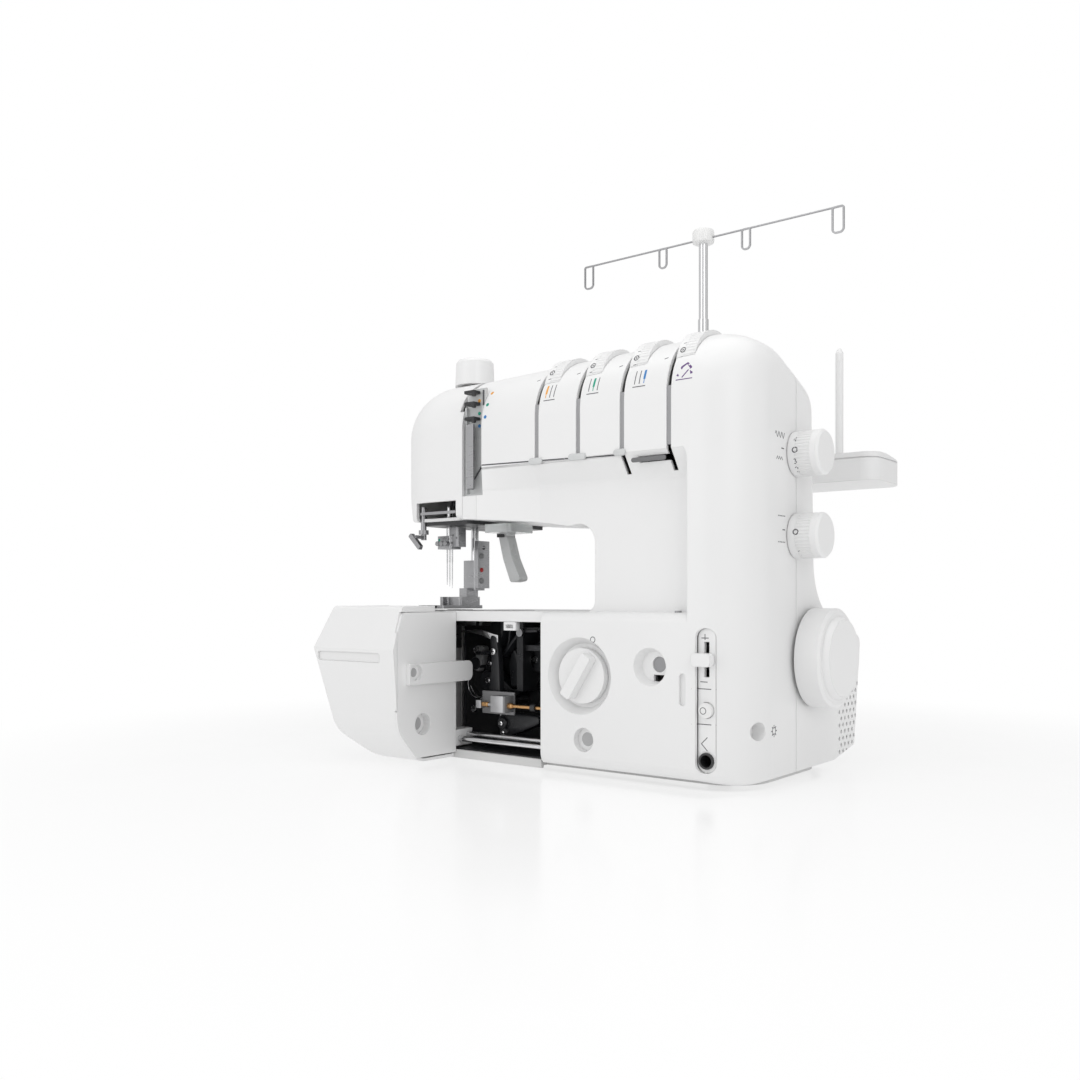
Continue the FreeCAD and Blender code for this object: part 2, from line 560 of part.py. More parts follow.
# ---- needle, presser, looper, feed ------------------------------------------
def needle_group():
    x, y = NEEDLE
    bar = rod("z", x, y, 3.2, 200, 322)
    link = box(x + 3, x + 9, y - 4, y + 4, 248, 258).fuse(box(x + 3, x + 9, y + 4, y + 17, 248, 284))
    save("needle_bar", join(bar, link))
    body = rounded_box(x - 9, x + 9, y - 8, y + 7, 188, 200, 2.5)
    socket = rounded_box(x + 6, x + 16, y - 6, y + 6, 190, 208, 2)
    body = join(body, socket)
    for i in (-1, 0, 1):
        body = body.cut(rod("z", x + 3.2 * i, y, 0.8, 180, 196))
        body = body.fuse(rod("y", x + 5 * i, 193, 2.2, y - 12, y - 8))
    body = body.cut(rod("z", x, y, 3.2, 199, 201))
    save("needle_clamp", body)
    needles = []
    for i in (-1, 0, 1):
        shank = rod("z", x + 3.2 * i, y, 0.8, 176, 196)
        blade = cone("z", x + 3.2 * i, y, 0.25, 0.6, 152 + 1.5 * (1 - i), 160)
        needles.append(join(shank, blade, rod("z", x + 3.2 * i, y, 0.6, 160, 176)))
    save("needles", *needles)


def presser_group():
    x, y = PRESSER
    bar = rod("z", x, y, 3.6, 168, 300)
    pin = box(x + 3, x + 12, y - 3, y + 3, 216, 221.5)
    save("presser_bar", join(bar, pin))
    holder = rounded_box(x - 9, x + 7, y - 7, y + 7, 150, 178, 2).cut(rod("z", x, y, 3.6, 168, 180))
    ankle = box(x - 7, x + 2, y - 14, y + 2, 143, 152)
    strip = box(x + 7, x + 11, y - 8, y + 8, 152, 196).cut(rod("x", y, 190, 2, x, x + 20))
    sole = rounded_box(-331, -299, 3, 60, 133.2, 136.2, 4)
    sole = sole.fuse(rounded_box(-329, -301, 30, 58, 136, 144, 3))
    sole = sole.cut(rounded_box(NEEDLE[0] - 6.5, NEEDLE[0] + 6.5, NEEDLE[1] - 4, NEEDLE[1] + 4, 130, 150, 2))
    for fork in (-322.5, -315, -307.5):
        sole = sole.cut(rounded_box(fork - 1.6, fork + 1.6, -2, 18, 130, 140, 1.4))
    save("presser_foot", join(holder, ankle, strip, sole))
    px, pz = LIFTER_PIVOT
    hub = rod("y", px, pz, 5.4, 59, 71)
    arm = prism([(px - 5, pz, 1), (px + 6, pz - 4, 1), (px + 12, pz - 24, 20), (px + 22, pz - 44, 3),
                 (px + 10, pz - 46, 3), (px + 1, pz - 24, 20)], "xz", 59, 71)
    lever = join(hub, arm).cut(rod("y", px, pz, 2.5 + FIT, 50, 80))
    save("presser_lifter", lever)


def looper_group():
    px, pz = LOOPER_PIVOT
    shaft = rod("y", px, pz, 5, 26, 84)
    save("looper_shaft", shaft)
    hub = rod("y", px, pz, 10, 28, 46)
    arm = prism([(px - 7, pz, 2), (px + 7, pz, 2), (px + 5, 108, 3), (px - 5, 112, 3)], "xz", 30, 38)
    blade = prism([(px - 42, 112.5, 0.5), (px - 20, 110.5, 8), (px + 4, 104, 2), (px + 4, 110, 2),
                   (px - 20, 114, 8)], "xz", 31, 34)
    screw = rod("y", px, 92, 4, 26, 31)
    looper = join(hub, arm, blade, screw).cut(rod("y", px, pz, 5, 20, 60))
    save("looper", looper)


def feed_group():
    for name, (y0, y1) in (("feed_dog_main", (39.0, 54.0)), ("feed_dog_front", (13.2, 25.0))):
        carrier = box(-330, -304, y0, y1, 117, 122)
        stem = box(-330, -322, y0, y1, 96, 118)
        bars = []
        for x in FEED_BARS:
            bar = box(x - 2, x + 2, y0, y1, 121, BED_Z + 0.2)
            for i in range(int((y1 - y0) / 2)):
                tooth = prism([(y0 + 2 * i + 0.1, BED_Z + 0.1, 0.05), (y0 + 2 * i + 1.9, BED_Z + 0.1, 0.05),
                               (y0 + 2 * i + 1.6, BED_Z + 0.9, 0.05)], "yz", x - 2, x + 2)
                bar = bar.fuse(tooth)
            bars.append(bar)
        save(name, join(carrier, stem, *bars))


# ---- controls ---------------------------------------------------------------
def tension_wheels():
    discs = []
    for i, x in enumerate(tension_places()):
        z = top_at(x) - TENSION_DROP
        half = TENSION_WIDTH / 2
        wheel = rod("x", TENSION_Y, z, TENSION_R, x - half, x + half)
        for start in (x - half - 1, x + 2):
            wheel = wheel.cut(ring("x", TENSION_Y, z, TENSION_R - 5, 14.5, start, start + half - 1))
        for step in range(72):
            angle = math.radians(step * 5)
            y_groove = TENSION_Y + (TENSION_R + 0.4) * math.cos(angle)
            z_groove = z + (TENSION_R + 0.4) * math.sin(angle)
            wheel = wheel.cut(rod("x", y_groove, z_groove, 0.8, x - half + 6, x + half + 1))
        wheel = wheel.cut(rod("x", TENSION_Y, z, 3 + FIT, x - half - 1, x + half + 1))
        save("tension_wheel_" + str(i + 1), wheel)
        spindle = rod("x", TENSION_Y, z, 3, x - 12, x + half + 5)
        near = rod("x", TENSION_Y, z, 13, x - 9.6, x - 8.6)
        far = rod("x", TENSION_Y, z, 13, x - 10.9, x - 9.9)
        stay = box(x - 12.6, x - 11.4, TENSION_Y - 4, 92, z - 4, z + 4)
        discs.append(join(spindle, near, far, stay))
    save("tension_discs", *discs)


def knurled(axis_y, axis_z, radius, x0, x1, count):
    body = rod("x", axis_y, axis_z, radius, x0, x1)
    for step in range(count):
        angle = 2 * math.pi * step / count
        body = body.cut(rod("x", axis_y + (radius + 0.5) * math.cos(angle),
                            axis_z + (radius + 0.5) * math.sin(angle), 1.0, x0 + 6, x1 - 5))
    return body


def knobs():
    for name, z in (("stitch_length_knob", KNOB_Z[0]), ("feed_ratio_knob", KNOB_Z[1])):
        grip = knurled(KNOB_Y, z, KNOB_R, 0.6, 23, 40)
        grip = grip.fuse(cone("x", KNOB_Y, z, KNOB_R, KNOB_R - 2, 23, 25))
        stem = rod("x", KNOB_Y, z, 6.5, -12, 1)
        save(name, join(grip, stem))
    x, z = DIAL
    disc = rod("y", x, z, 22.5, 3, 8.5)
    bar = prism([(x - 20, z - 5, 2), (x + 20, z - 5, 2), (x + 20, z + 5, 2), (x - 20, z + 5, 2)], "xz", -6, 4)
    bar.rotate(vec(x, 0, z), vec(0, 1, 0), -57)
    save("front_dial", join(disc, bar, rod("y", x, z, 6, 8, 16)))
    x, y = PRESSER
    top = top_at(HEAD_X)
    knob = cone("z", x, y, 18.5, 17.5, top + 1.2, 363).fuse(cone("z", x, y, 17.5, 15.5, 363, 365.5))
    save("pressure_knob", join(knob, rod("z", x, y, 7, 318, top + 3)))
    mid = PANEL_MID
    knob = rounded_slot_y((mid - 8, mid + 8, SLIDER_Z - 5, SLIDER_Z + 5), -6, -0.6, 3)
    knob = knob.fuse(rounded_slot_y((mid - 6.6, mid + 6.6, SLIDER_Z - 4, SLIDER_Z + 4), -1, 3.6, 2))
    save("speed_slider", join(knob, box(mid - 1.6, mid + 1.6, 2, 12, SLIDER_Z - 3, SLIDER_Z + 3)))
    save("light_button", join(rod("y", mid, BUTTON_Z, 5.7, 1.4, 10), rod("y", mid, BUTTON_Z, 7.2, 8.4, 10)))


def control_panel():
    x0, x1, z0, z1 = PANEL
    mid = PANEL_MID
    strip = rounded_slot_y((x0 + 0.15, x1 - 0.15, z0 + 0.15, z1 - 0.15), 4.2, 7.8, 6.8)
    strip = strip.cut(box(mid - 2.1, mid + 2.1, 0, 10, *SLIDER_SLOT))
    strip = strip.cut(rod("y", mid, BUTTON_Z, 6.0, 0, 10))
    strip = strip.cut(rod("y", mid, KNEE_Z, 6.1, 0, 10))
    save("control_panel", strip)
    socket = ring("y", mid, KNEE_Z, 6.1, 4.6, 2.4, 26).fuse(rod("y", mid, KNEE_Z, 6.1, 26, 28))
    save("knee_socket", socket)


# ---- head details -----------------------------------------------------------
def head_parts():
    top = top_at(HEAD_X)
    liner = box(-271.6, -250.2, 6.4, 8.9, 232.2, 325.8)
    liner = liner.fuse(box(-271.6, -269.8, 3.2, 7, 232.2, 310)).fuse(box(-252, -250.2, 3.2, 7, 232.2, 310))
    save("channel_liner", join(liner, box(-271.6, -250.2, 3.6, 8, 232.2, 234)))
    hooks = []
    for z in (322.0, 312.0, 299.0):
        arm = rounded_box(-268, -256, -3, 6.4, z - 1.2, z + 1.2, 1.5)
        hooks.append(arm.fuse(box(-258.4, -256, -3, 0, z - 4, z + 1.2)).removeSplitter())
    save("thread_hooks", *hooks)
    bracket = box(-266, -264.6, -1.5, 6.4, 238, 294).fuse(box(-266, -258, -1.5, 0, 238, 294))
    eyelet = box(-325, -282, 1.5, 3.2, 218, 220.5)
    save("thread_bracket", join(bracket), eyelet)
    plate = rounded_box(-333, HEAD_X - 1, 10, 120, ARM_Z - 3.2, ARM_Z - 0.1, 6)
    for x, y, r in ((*NEEDLE, 4.2), (*PRESSER, 4.6)):
        plate = plate.cut(rod("z", x, y, r, 200, 220))
    plate = plate.cut(rod("z", *THREADER, 3.4, 200, 220))
    px, pz = LIFTER_PIVOT
    for ear in (56.0, 71.5):
        plate = plate.fuse(box(px - 4, px + 3, ear, ear + 2.5, pz - 4, ARM_Z - 1))
    plate = plate.fuse(rod("y", px, pz, 2.5, 56, 74))
    save("head_plate", plate.cut(box(-303, -299.4, 22, 44, 205, 215)))
    lens = rounded_box(-266, -236, 20, 57, ARM_Z - 11, ARM_Z - 3.8, 5)
    save("lamp_lens", lens)
    x, y = THREADER
    post = rod("z", x, y, 2.6, 196, 226)
    collar = rod("z", x, y, 4.6, 201, 205)
    arm = prism([(x - 6, 199, 1), (x - 3, 202, 1), (x + 9, 190, 1), (x + 7, 186, 1)], "xz", y - 14, y - 10)
    reach = box(x - 3, x + 2, y - 12, y, 197, 200)
    save("needle_threader", join(post, collar, arm, reach))


# ---- thread stand -----------------------------------------------------------
TRAY_SIDE = [(118, 246, 2), (118, 271, 2), (238, 271, 12), (TRAY_BACK_Y, 264, 4), (TRAY_BACK_Y, 255, 4),
             (293, 246, 10)]


def spool_tray(outer):
    step_x, step_y = TRAY_STEP
    plan = [(TRAY_LEFT_X, 118, 2), (step_x, 118, 2), (step_x, step_y, 12), (TRAY_RIGHT_X, step_y, 14),
            (TRAY_RIGHT_X, TRAY_BACK_Y, 40), (TRAY_LEFT_X, TRAY_BACK_Y, 40)]
    tray = prism(TRAY_SIDE, "yz", TRAY_LEFT_X, TRAY_RIGHT_X).common(prism(plan, "xy", 200, 300))
    rim = prism(plan, "xy", 265.6, 266.6).cut(prism(plan, "xy", 260, 270, 1.0))
    tray = tray.cut(rim).cut(outer.common(box(-400, 50, 60, 200, 200, 300))).cut(head_form(0))
    hollow = prism(TRAY_SIDE, "yz", TRAY_LEFT_X + 3, TRAY_RIGHT_X - 3, [-4, 3, 3, 3, 3, 3])
    boss = rod("z", *MAST, 12, 247, 270)
    tray = tray.cut(hollow.common(prism(plan, "xy", 200, 300, [-4, 3, 3, 3, 3, 3])).cut(boss))
    tray = tray.cut(box(-400, 50, 100, 129.5, 200, 300)).cut(rod("z", *MAST, MAST_LOWER[0], 240, 280))
    for x in PIN_X:
        tray = tray.cut(rod("z", x, PIN_Y, PIN_STUB_R, 260, 280))
    save("spool_tray", tray)
    pins = []
    for x in PIN_X:
        stub = rod("z", x, PIN_Y, PIN_STUB_R, 264, PIN_STEP_Z)
        tip = cone("z", x, PIN_Y, PIN_R, 1.5, 366, 370)
        pins.append(join(stub, rod("z", x, PIN_Y, PIN_R, PIN_STEP_Z, 366), tip))
    save("spool_pins", *pins)


def mast():
    outer_r, bore, low, high = MAST_LOWER
    foot = rod("z", *MAST, outer_r, low - 2, low)
    save("mast_lower", ring("z", *MAST, outer_r, bore, low, high).fuse(foot))
    save("mast_middle", ring("z", *MAST, *MAST_MIDDLE))
    radius, underside, top = CAP
    cap = join(cone("z", *MAST, radius, radius - 0.4, underside, top - 3.5),
               cone("z", *MAST, radius - 0.4, radius - 3, top - 3.5, top))
    head = join(rod("z", *MAST, MAST_TOP[0], MAST_TOP[1], underside), cap)
    x, y = MAST
    save("mast_top", head.cut(rod("x", y, WIRE_Z, WIRE_R, x - 20, x + 20)))
    reach = GUIDE_LOOPS[0][0]
    pieces = [rod("x", y, WIRE_Z, WIRE_R, x - reach, x + reach)]
    top_z = WIRE_Z + LOOP_HALF
    for reach, high, wide in GUIDE_LOOPS:
        for middle in (x - reach, x + reach):
            left, right = middle - wide / 2, middle + wide / 2
            corners = [(left, WIRE_Z - high, 4.5), (right, WIRE_Z - high, 4.5), (right, top_z, 2.5),
                       (left, top_z, 2.5)]
            loop = prism(corners, "xz", y - LOOP_HALF, y + LOOP_HALF)
            pieces.append(loop.cut(prism(corners, "xz", y - 3, y + 3, 2 * LOOP_HALF)))
    save("thread_guide_bar", join(*pieces))


def rear_sockets():
    x0, x1, z0, z1 = INLET
    shell = rounded_slot_y((x0 + 0.2, x1 - 0.2, z0 + 0.2, z1 - 0.2), 216, 229, 1.8)
    shell = shell.cut(rounded_slot_y((x0 + 3, x1 - 3, z0 + 3, z1 - 3), 218.5, 240, 2))
    for dx in (-7, 0, 7):
        shell = shell.fuse(box((x0 + x1) / 2 + dx - 1, (x0 + x1) / 2 + dx + 1, 218, 226, 58, 66))
    save("power_inlet", shell)
    x0, x1, z0, z1 = SWITCH
    mid_z = (z0 + z1) / 2
    rocker = prism([(214, mid_z - 8, 2), (222, mid_z - 9, 2), (224, mid_z, 3), (228, mid_z + 9, 2),
                    (216, mid_z + 8, 2)], "yz", x0 + 2, x1 - 2)
    save("power_switch", rocker.fuse(rod("x", SWITCH_PIVOT_Y, mid_z, 1.6, x0 + 0.5, x1 - 0.5)))


def housing_screws():
    ledge_screw = rod("z", -60, 9.5, 2.6, BED_Z, BED_Z + 1.4)
    shelf_screw = rod("y", -238, 112, 3.5, 37, 40)
    save("housing_screws", ledge_screw, shelf_screw)


def main():
    os.makedirs("parts", exist_ok=True)
    outer = casings()
    face_plate()
    base_and_feet()
    bed_parts()
    looper_housing()
    free_arm()
    looper_cover()
    drive()
    main_frame()
    handwheel()
    needle_group()
    presser_group()
    looper_group()
    feed_group()
    tension_wheels()
    knobs()
    control_panel()
    head_parts()
    spool_tray(outer)
    mast()
    rear_sockets()
    housing_screws()


main()
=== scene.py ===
import json
import math

import bmesh
import bpy
from mathutils import Matrix, Vector
from mathutils.bvhtree import BVHTree


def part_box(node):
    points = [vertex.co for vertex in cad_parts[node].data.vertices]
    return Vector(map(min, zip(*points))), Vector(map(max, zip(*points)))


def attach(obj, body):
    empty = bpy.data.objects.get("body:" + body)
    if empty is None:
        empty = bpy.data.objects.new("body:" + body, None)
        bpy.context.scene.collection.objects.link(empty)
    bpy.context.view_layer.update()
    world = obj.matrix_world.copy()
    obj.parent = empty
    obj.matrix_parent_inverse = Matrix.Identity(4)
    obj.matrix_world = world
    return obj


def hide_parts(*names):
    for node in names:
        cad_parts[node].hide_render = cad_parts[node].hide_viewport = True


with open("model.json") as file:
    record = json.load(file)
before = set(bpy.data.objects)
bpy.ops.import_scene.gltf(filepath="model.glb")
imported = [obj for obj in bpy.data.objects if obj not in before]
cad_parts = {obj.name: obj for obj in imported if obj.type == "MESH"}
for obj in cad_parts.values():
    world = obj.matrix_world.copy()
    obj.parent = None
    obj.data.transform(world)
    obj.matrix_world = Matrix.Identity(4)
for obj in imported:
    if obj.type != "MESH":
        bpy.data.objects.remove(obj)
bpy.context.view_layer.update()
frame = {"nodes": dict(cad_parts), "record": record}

# ---- places -----------------------------------------------------------------
# Millimetres from the right wall (X), the front panel (Y) and the table (Z), as
# the CAD source counts them.  at() turns them into metres in the frame.
MM = 0.001
RIGHT_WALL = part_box("front_cover")[1].x
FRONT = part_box("front_cover")[0].y
MAST = (-158.0, 225.0)                          # axis of the thread stand
WHEEL_X = [-180.2, -138.0, -95.8, -53.6]        # middles of the four tension wheels
LOOPER_PIVOT = (-262.0, 50.0)


def at(x, y, z):
    return Vector((RIGHT_WALL + x * MM, FRONT + y * MM, z * MM))


# ---- materials --------------------------------------------------------------
def noise(nodes, links, coords, scale, detail=3.0, stretch=None):
    texture = nodes.new("ShaderNodeTexNoise")
    texture.inputs["Scale"].default_value = scale
    texture.inputs["Detail"].default_value = detail
    source = coords.outputs["Object"]
    if stretch:
        mapping = nodes.new("ShaderNodeMapping")
        mapping.inputs["Scale"].default_value = stretch
        links.new(source, mapping.inputs["Vector"])
        source = mapping.outputs["Vector"]
    links.new(source, texture.inputs["Vector"])
    return texture.outputs["Fac"]


def ramp(nodes, links, fac, low, high, low_at=0.3, high_at=0.7):
    """Colour ramp between two values or two colours."""
    node = nodes.new("ShaderNodeValToRGB")
    for element, place, value in zip(node.color_ramp.elements, (low_at, high_at), (low, high)):
        element.position = place
        element.color = (value, value, value, 1) if isinstance(value, float) else (*value, 1)
    links.new(fac, node.inputs["Fac"])
    return node.outputs["Color"]


def surface(name, colour, spread=0.1, rough=0.45, rough_spread=0.06, bump=0.2, bump_scale=900.0,
            grain=None, metallic=0.0, cloud=14.0, edge=0.0):
    """Moulded, painted or metal surface: slight mottling, uneven gloss, a fine relief and
    edges rounded over by edge metres."""
    material = bpy.data.materials.new(name)
    material.use_nodes = True
    nodes, links = material.node_tree.nodes, material.node_tree.links
    shader = nodes["Principled BSDF"]
    coords = nodes.new("ShaderNodeTexCoord")
    dark = tuple(c * (1 - spread) for c in colour)
    mottling = noise(nodes, links, coords, cloud)
    links.new(ramp(nodes, links, mottling, dark, colour), shader.inputs["Base Color"])
    gloss = noise(nodes, links, coords, cloud * 5, 4.0, grain)
    links.new(ramp(nodes, links, gloss, max(rough - rough_spread, 0.02), rough + rough_spread),
              shader.inputs["Roughness"])
    relief = nodes.new("ShaderNodeBump")
    relief.inputs["Strength"].default_value = bump
    relief.inputs["Distance"].default_value = 0.0001
    links.new(noise(nodes, links, coords, bump_scale, 2.0, grain), relief.inputs["Height"])
    links.new(relief.outputs["Normal"], shader.inputs["Normal"])
    shader.inputs["Metallic"].default_value = metallic
    if edge:
        rounding = nodes.new("ShaderNodeBevel")
        rounding.samples = 4
        rounding.inputs["Radius"].default_value = edge
        links.new(rounding.outputs["Normal"], relief.inputs["Normal"])
    return material


def clear_plastic():
    material = surface("clear_plastic", (0.86, 0.88, 0.88), 0.04, 0.2, 0.05, 0.1, 500.0)
    shader = material.node_tree.nodes["Principled BSDF"]
    shader.inputs["Transmission Weight"].default_value = 0.6
    shader.inputs["IOR"].default_value = 1.45
    return material


FINISH = {
    "casing": surface("casing_white", (0.80, 0.80, 0.80), 0.012, 0.33, 0.03, 0.1, 1400.0, edge=0.0008),
    "tray_plastic": surface("tray_white", (0.78, 0.78, 0.78), 0.015, 0.44, 0.05, 0.2, 1800.0, edge=0.0006),
    "button_plastic": surface("button_white", (0.79, 0.79, 0.785), 0.02, 0.3, 0.04, 0.1, 900.0,
                              edge=0.0005),
    "dark_plastic": surface("dark_plastic", (0.03, 0.03, 0.032), 0.25, 0.42, 0.08, 0.3, 1500.0,
                            edge=0.0003),
    "pale_metal": surface("pale_paint", (0.62, 0.62, 0.615), 0.03, 0.5, 0.06, 0.3, 1200.0, edge=0.0003),
    "rubber": surface("rubber", (0.03, 0.03, 0.03), 0.3, 0.75, 0.08, 0.5),
    "cast_alloy": surface("cast_alloy", (0.55, 0.55, 0.56), 0.12, 0.42, 0.1, 0.5, 600.0, metallic=1.0,
                          edge=0.0003),
    "black_casting": surface("black_casting", (0.02, 0.021, 0.024), 0.35, 0.36, 0.1, 0.5, 420.0,
                             edge=0.0006),
    "plate_steel": surface("plate_steel", (0.42, 0.42, 0.42), 0.06, 0.38, 0.07, 0.25, 500.0, (1, 14, 1),
                           1.0, edge=0.0003),
    "bright_steel": surface("bright_steel", (0.75, 0.75, 0.76), 0.04, 0.14, 0.05, 0.05, 300.0,
                            metallic=1.0, edge=0.0002),
    "ground_steel": surface("ground_steel", (0.40, 0.40, 0.41), 0.1, 0.32, 0.08, 0.3, 600.0, (1, 1, 12),
                            1.0, edge=0.0002),
    "bronze": surface("bronze", (0.62, 0.36, 0.16), 0.15, 0.3, 0.08, 0.3, 700.0, metallic=1.0),
    "belt_rubber": surface("belt_rubber", (0.03, 0.03, 0.032), 0.3, 0.7, 0.1, 0.5),
    "clear_plastic": clear_plastic(),
    # Painted shade in the thread slots and at the bottom of the cone recess.
    "slot_shade_grey": surface("slot_shade_grey", (0.33, 0.33, 0.34), 0.04, 0.5, 0.05, 0.2, 1200.0),
    # Painted shade on the floors of the round recesses.
    "recess_shade_grey": surface("recess_shade_grey", (0.44, 0.44, 0.445), 0.04, 0.5, 0.05, 0.2, 1200.0),
    "shade_grey": surface("shade_grey", (0.16, 0.16, 0.165), 0.06, 0.5, 0.05, 0.2, 1200.0),
    "frost_plastic": surface("frost_plastic", (0.60, 0.61, 0.61), 0.03, 0.3, 0.05, 0.1, 900.0, edge=0.0006),
    "grey_paint": surface("grey_paint", (0.23, 0.23, 0.235), 0.05, 0.42, 0.06, 0.3, 900.0, edge=0.0004),
    "brass": surface("brass", (0.65, 0.43, 0.16), 0.1, 0.25, 0.08, 0.3, 700.0, metallic=1.0),
    # Print, and painted shade along the cover seam and the threading channel's edge.
    "ink_and_shade_grey": surface("ink_and_shade_grey", (0.09, 0.09, 0.10), 0.15, 0.5, 0.08, 0.1, 1500.0),
    "ink_orange": surface("ink_orange", (0.80, 0.36, 0.05), 0.08, 0.5, 0.08, 0.1, 1500.0),
    "ink_green": surface("ink_green", (0.01, 0.33, 0.22), 0.08, 0.5, 0.08, 0.1, 1500.0),
    "ink_blue": surface("ink_blue", (0.03, 0.20, 0.50), 0.08, 0.5, 0.08, 0.1, 1500.0),
    "ink_purple": surface("ink_purple", (0.12, 0.05, 0.20), 0.08, 0.5, 0.08, 0.1, 1500.0),
    "ink_red": surface("ink_red", (0.45, 0.02, 0.02), 0.08, 0.5, 0.08, 0.1, 1500.0),
}


def dress_cad_nodes():
    """Gives every CAD node its finish."""
    slots = {part["node"]: part["material_slot"] for part in frame["record"]["subparts"]}
    for name, obj in frame["nodes"].items():
        if not obj.material_slots:
            obj.data.materials.append(None)
        for slot in obj.material_slots:
            slot.material = FINISH[CAD_FINISH.get(name, slots[name])]


# Nodes whose look is more particular than their slot.
CAD_FINISH = {"needle_plate": "plate_steel", "presser_lifter": "frost_plastic",
              "lamp_lens": "clear_plastic", "channel_liner": "frost_plastic",
              "thread_guide_bar": "ground_steel", "thread_bracket": "ground_steel"}


# ---- shapes -----------------------------------------------------------------
ARC_STEPS = 6                           # spans in a rounded corner
SMOOTH_ANGLE = math.radians(38)         # edges sharper than this stay sharp
SHARP_ANGLE = math.radians(40)          # edges sharper than this are bevelled


def rounded(points):
    """Outline points (u, v) or (u, v, radius), with the given corners turned into arcs."""
    count = len(points)
    result = []
    for i, point in enumerate(points):
        corner = Vector(point[:2])
        radius = point[2] if len(point) > 2 else 0
        before, after = Vector(points[i - 1][:2]), Vector(points[(i + 1) % count][:2])
        to_before, to_after = before - corner, after - corner
        if radius <= 0:
            result.append(corner)
            continue
        half = to_before.angle(to_after) / 2
        cut = min(radius / math.tan(half), 0.49 * to_before.length, 0.49 * to_after.length)
        radius = cut * math.tan(half)
        start = corner + to_before.normalized() * cut
        end = corner + to_after.normalized() * cut
        inward = (to_before.normalized() + to_after.normalized()).normalized()
        centre = corner + inward * radius / math.sin(half)
        a, b = start - centre, end - centre
        turn = a.angle_signed(b)
        for step in range(ARC_STEPS + 1):
            spin = Matrix.Rotation(-turn * step / ARC_STEPS, 2)
            result.append(centre + spin @ a)
    return result


def place(plane, u, v, w):
    return at(*{"xz": (u, w, v), "xy": (u, v, w)}[plane])


AXES = {"x": (Vector((1, 0, 0)), Vector((0, 1, 0)), Vector((0, 0, 1))),
        "y": (Vector((0, 1, 0)), Vector((0, 0, 1)), Vector((1, 0, 0))),
        "z": (Vector((0, 0, 1)), Vector((1, 0, 0)), Vector((0, 1, 0)))}


class Shape:
    """Collects solids of one finish into one piece."""

    def __init__(self):
        self.bm = bmesh.new()

    def add(self, part, bevel=0.0):
        """Takes in a closed bmesh, its sharp edges rounded by bevel millimetres."""
        bmesh.ops.recalc_face_normals(part, faces=part.faces)
        if bevel:
            sharp = [e for e in part.edges if e.is_manifold and e.calc_face_angle(0) > SHARP_ANGLE]
            bmesh.ops.bevel(part, geom=sharp, offset=bevel * MM, segments=2, profile=0.5, affect="EDGES",
                            clamp_overlap=True)
        mesh = bpy.data.meshes.new("part")
        part.to_mesh(mesh)
        part.free()
        self.bm.from_mesh(mesh)
        bpy.data.meshes.remove(mesh)
        return self

    def plate(self, points, plane, start, end, bevel=0.3):
        """Prism of an outline."""
        part = bmesh.new()
        ring = [part.verts.new(place(plane, p[0], p[1], start)) for p in rounded(points)]
        face = part.faces.new(ring)
        moved = bmesh.ops.extrude_face_region(part, geom=[face])["geom"]
        way = place(plane, 0, 0, end) - place(plane, 0, 0, start)
        bmesh.ops.translate(part, verts=[v for v in moved if isinstance(v, bmesh.types.BMVert)], vec=way)
        return self.add(part, bevel)

    def block(self, x0, x1, y0, y1, z0, z1, bevel=0.4):
        return self.plate([(x0, y0), (x1, y0), (x1, y1), (x0, y1)], "xy", z0, z1, bevel)

    def turned(self, profile, axis, centre, way=1, sides=40):
        """Solid of revolution: profile is (radius, along) in millimetres from centre."""
        part = bmesh.new()
        along, side, up = AXES[axis]
        rings = []
        for radius, distance in profile:
            middle = at(*centre) + along * distance * way * MM
            if radius <= 0:
                rings.append([part.verts.new(middle)])
                continue
            ring = []
            for i in range(sides):
                angle = 2 * math.pi * i / sides
                spoke = side * math.cos(angle) + up * math.sin(angle)
                ring.append(part.verts.new(middle + spoke * radius * MM))
            rings.append(ring)
        for low, high in zip(rings, rings[1:]):
            for i in range(sides):
                corners = [low[i % len(low)], low[(i + 1) % len(low)],
                           high[(i + 1) % len(high)], high[i % len(high)]]
                unique = list(dict.fromkeys(corners))
                if len(unique) > 2:
                    part.faces.new(unique)
        for ring in (rings[0], rings[-1]):
            if len(ring) > 1:
                part.faces.new(ring)
        return self.add(part)

    def tube(self, points, radius, sides=10):
        """Round wire through points, in millimetres."""
        part = bmesh.new()
        line = [at(*p) for p in points]
        count = len(line)
        rings = []
        normal = None
        for i, point in enumerate(line):
            before = line[i - 1] if i else point
            after = line[i + 1] if i < count - 1 else point
            tangent = (after - before).normalized()
            if normal is None:
                normal = tangent.orthogonal().normalized()
            normal = (normal - tangent * normal.dot(tangent)).normalized()
            across = tangent.cross(normal)
            ring = []
            for k in range(sides):
                angle = 2 * math.pi * k / sides
                spoke = normal * math.cos(angle) + across * math.sin(angle)
                ring.append(part.verts.new(point + spoke * radius * MM))
            rings.append(ring)
        for low, high in zip(rings, rings[1:]):
            for k in range(sides):
                part.faces.new([low[k], low[(k + 1) % sides], high[(k + 1) % sides], high[k]])
        part.faces.new(rings[0])
        part.faces.new(rings[-1])
        return self.add(part)

    def done(self, name, finish, body):
        """Makes the piece, gives it its finish and hangs it on its body."""
        mesh = bpy.data.meshes.new(name)
        self.bm.to_mesh(mesh)
        self.bm.free()
        mesh.polygons.foreach_set("use_smooth", [True] * len(mesh.polygons))
        mesh.set_sharp_from_angle(angle=SMOOTH_ANGLE)
        mesh.materials.append(FINISH[finish])
        piece = bpy.data.objects.new(name, mesh)
        bpy.context.scene.collection.objects.link(piece)
        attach(piece, body)
        return piece


def arc(centre, radius, start, end, steps=12):
    """Points of a flat arc, angles in degrees."""
    points = []
    for i in range(steps + 1):
        angle = math.radians(start + (end - start) * i / steps)
        points.append((centre[0] + radius * math.cos(angle), centre[1] + radius * math.sin(angle)))
    return points


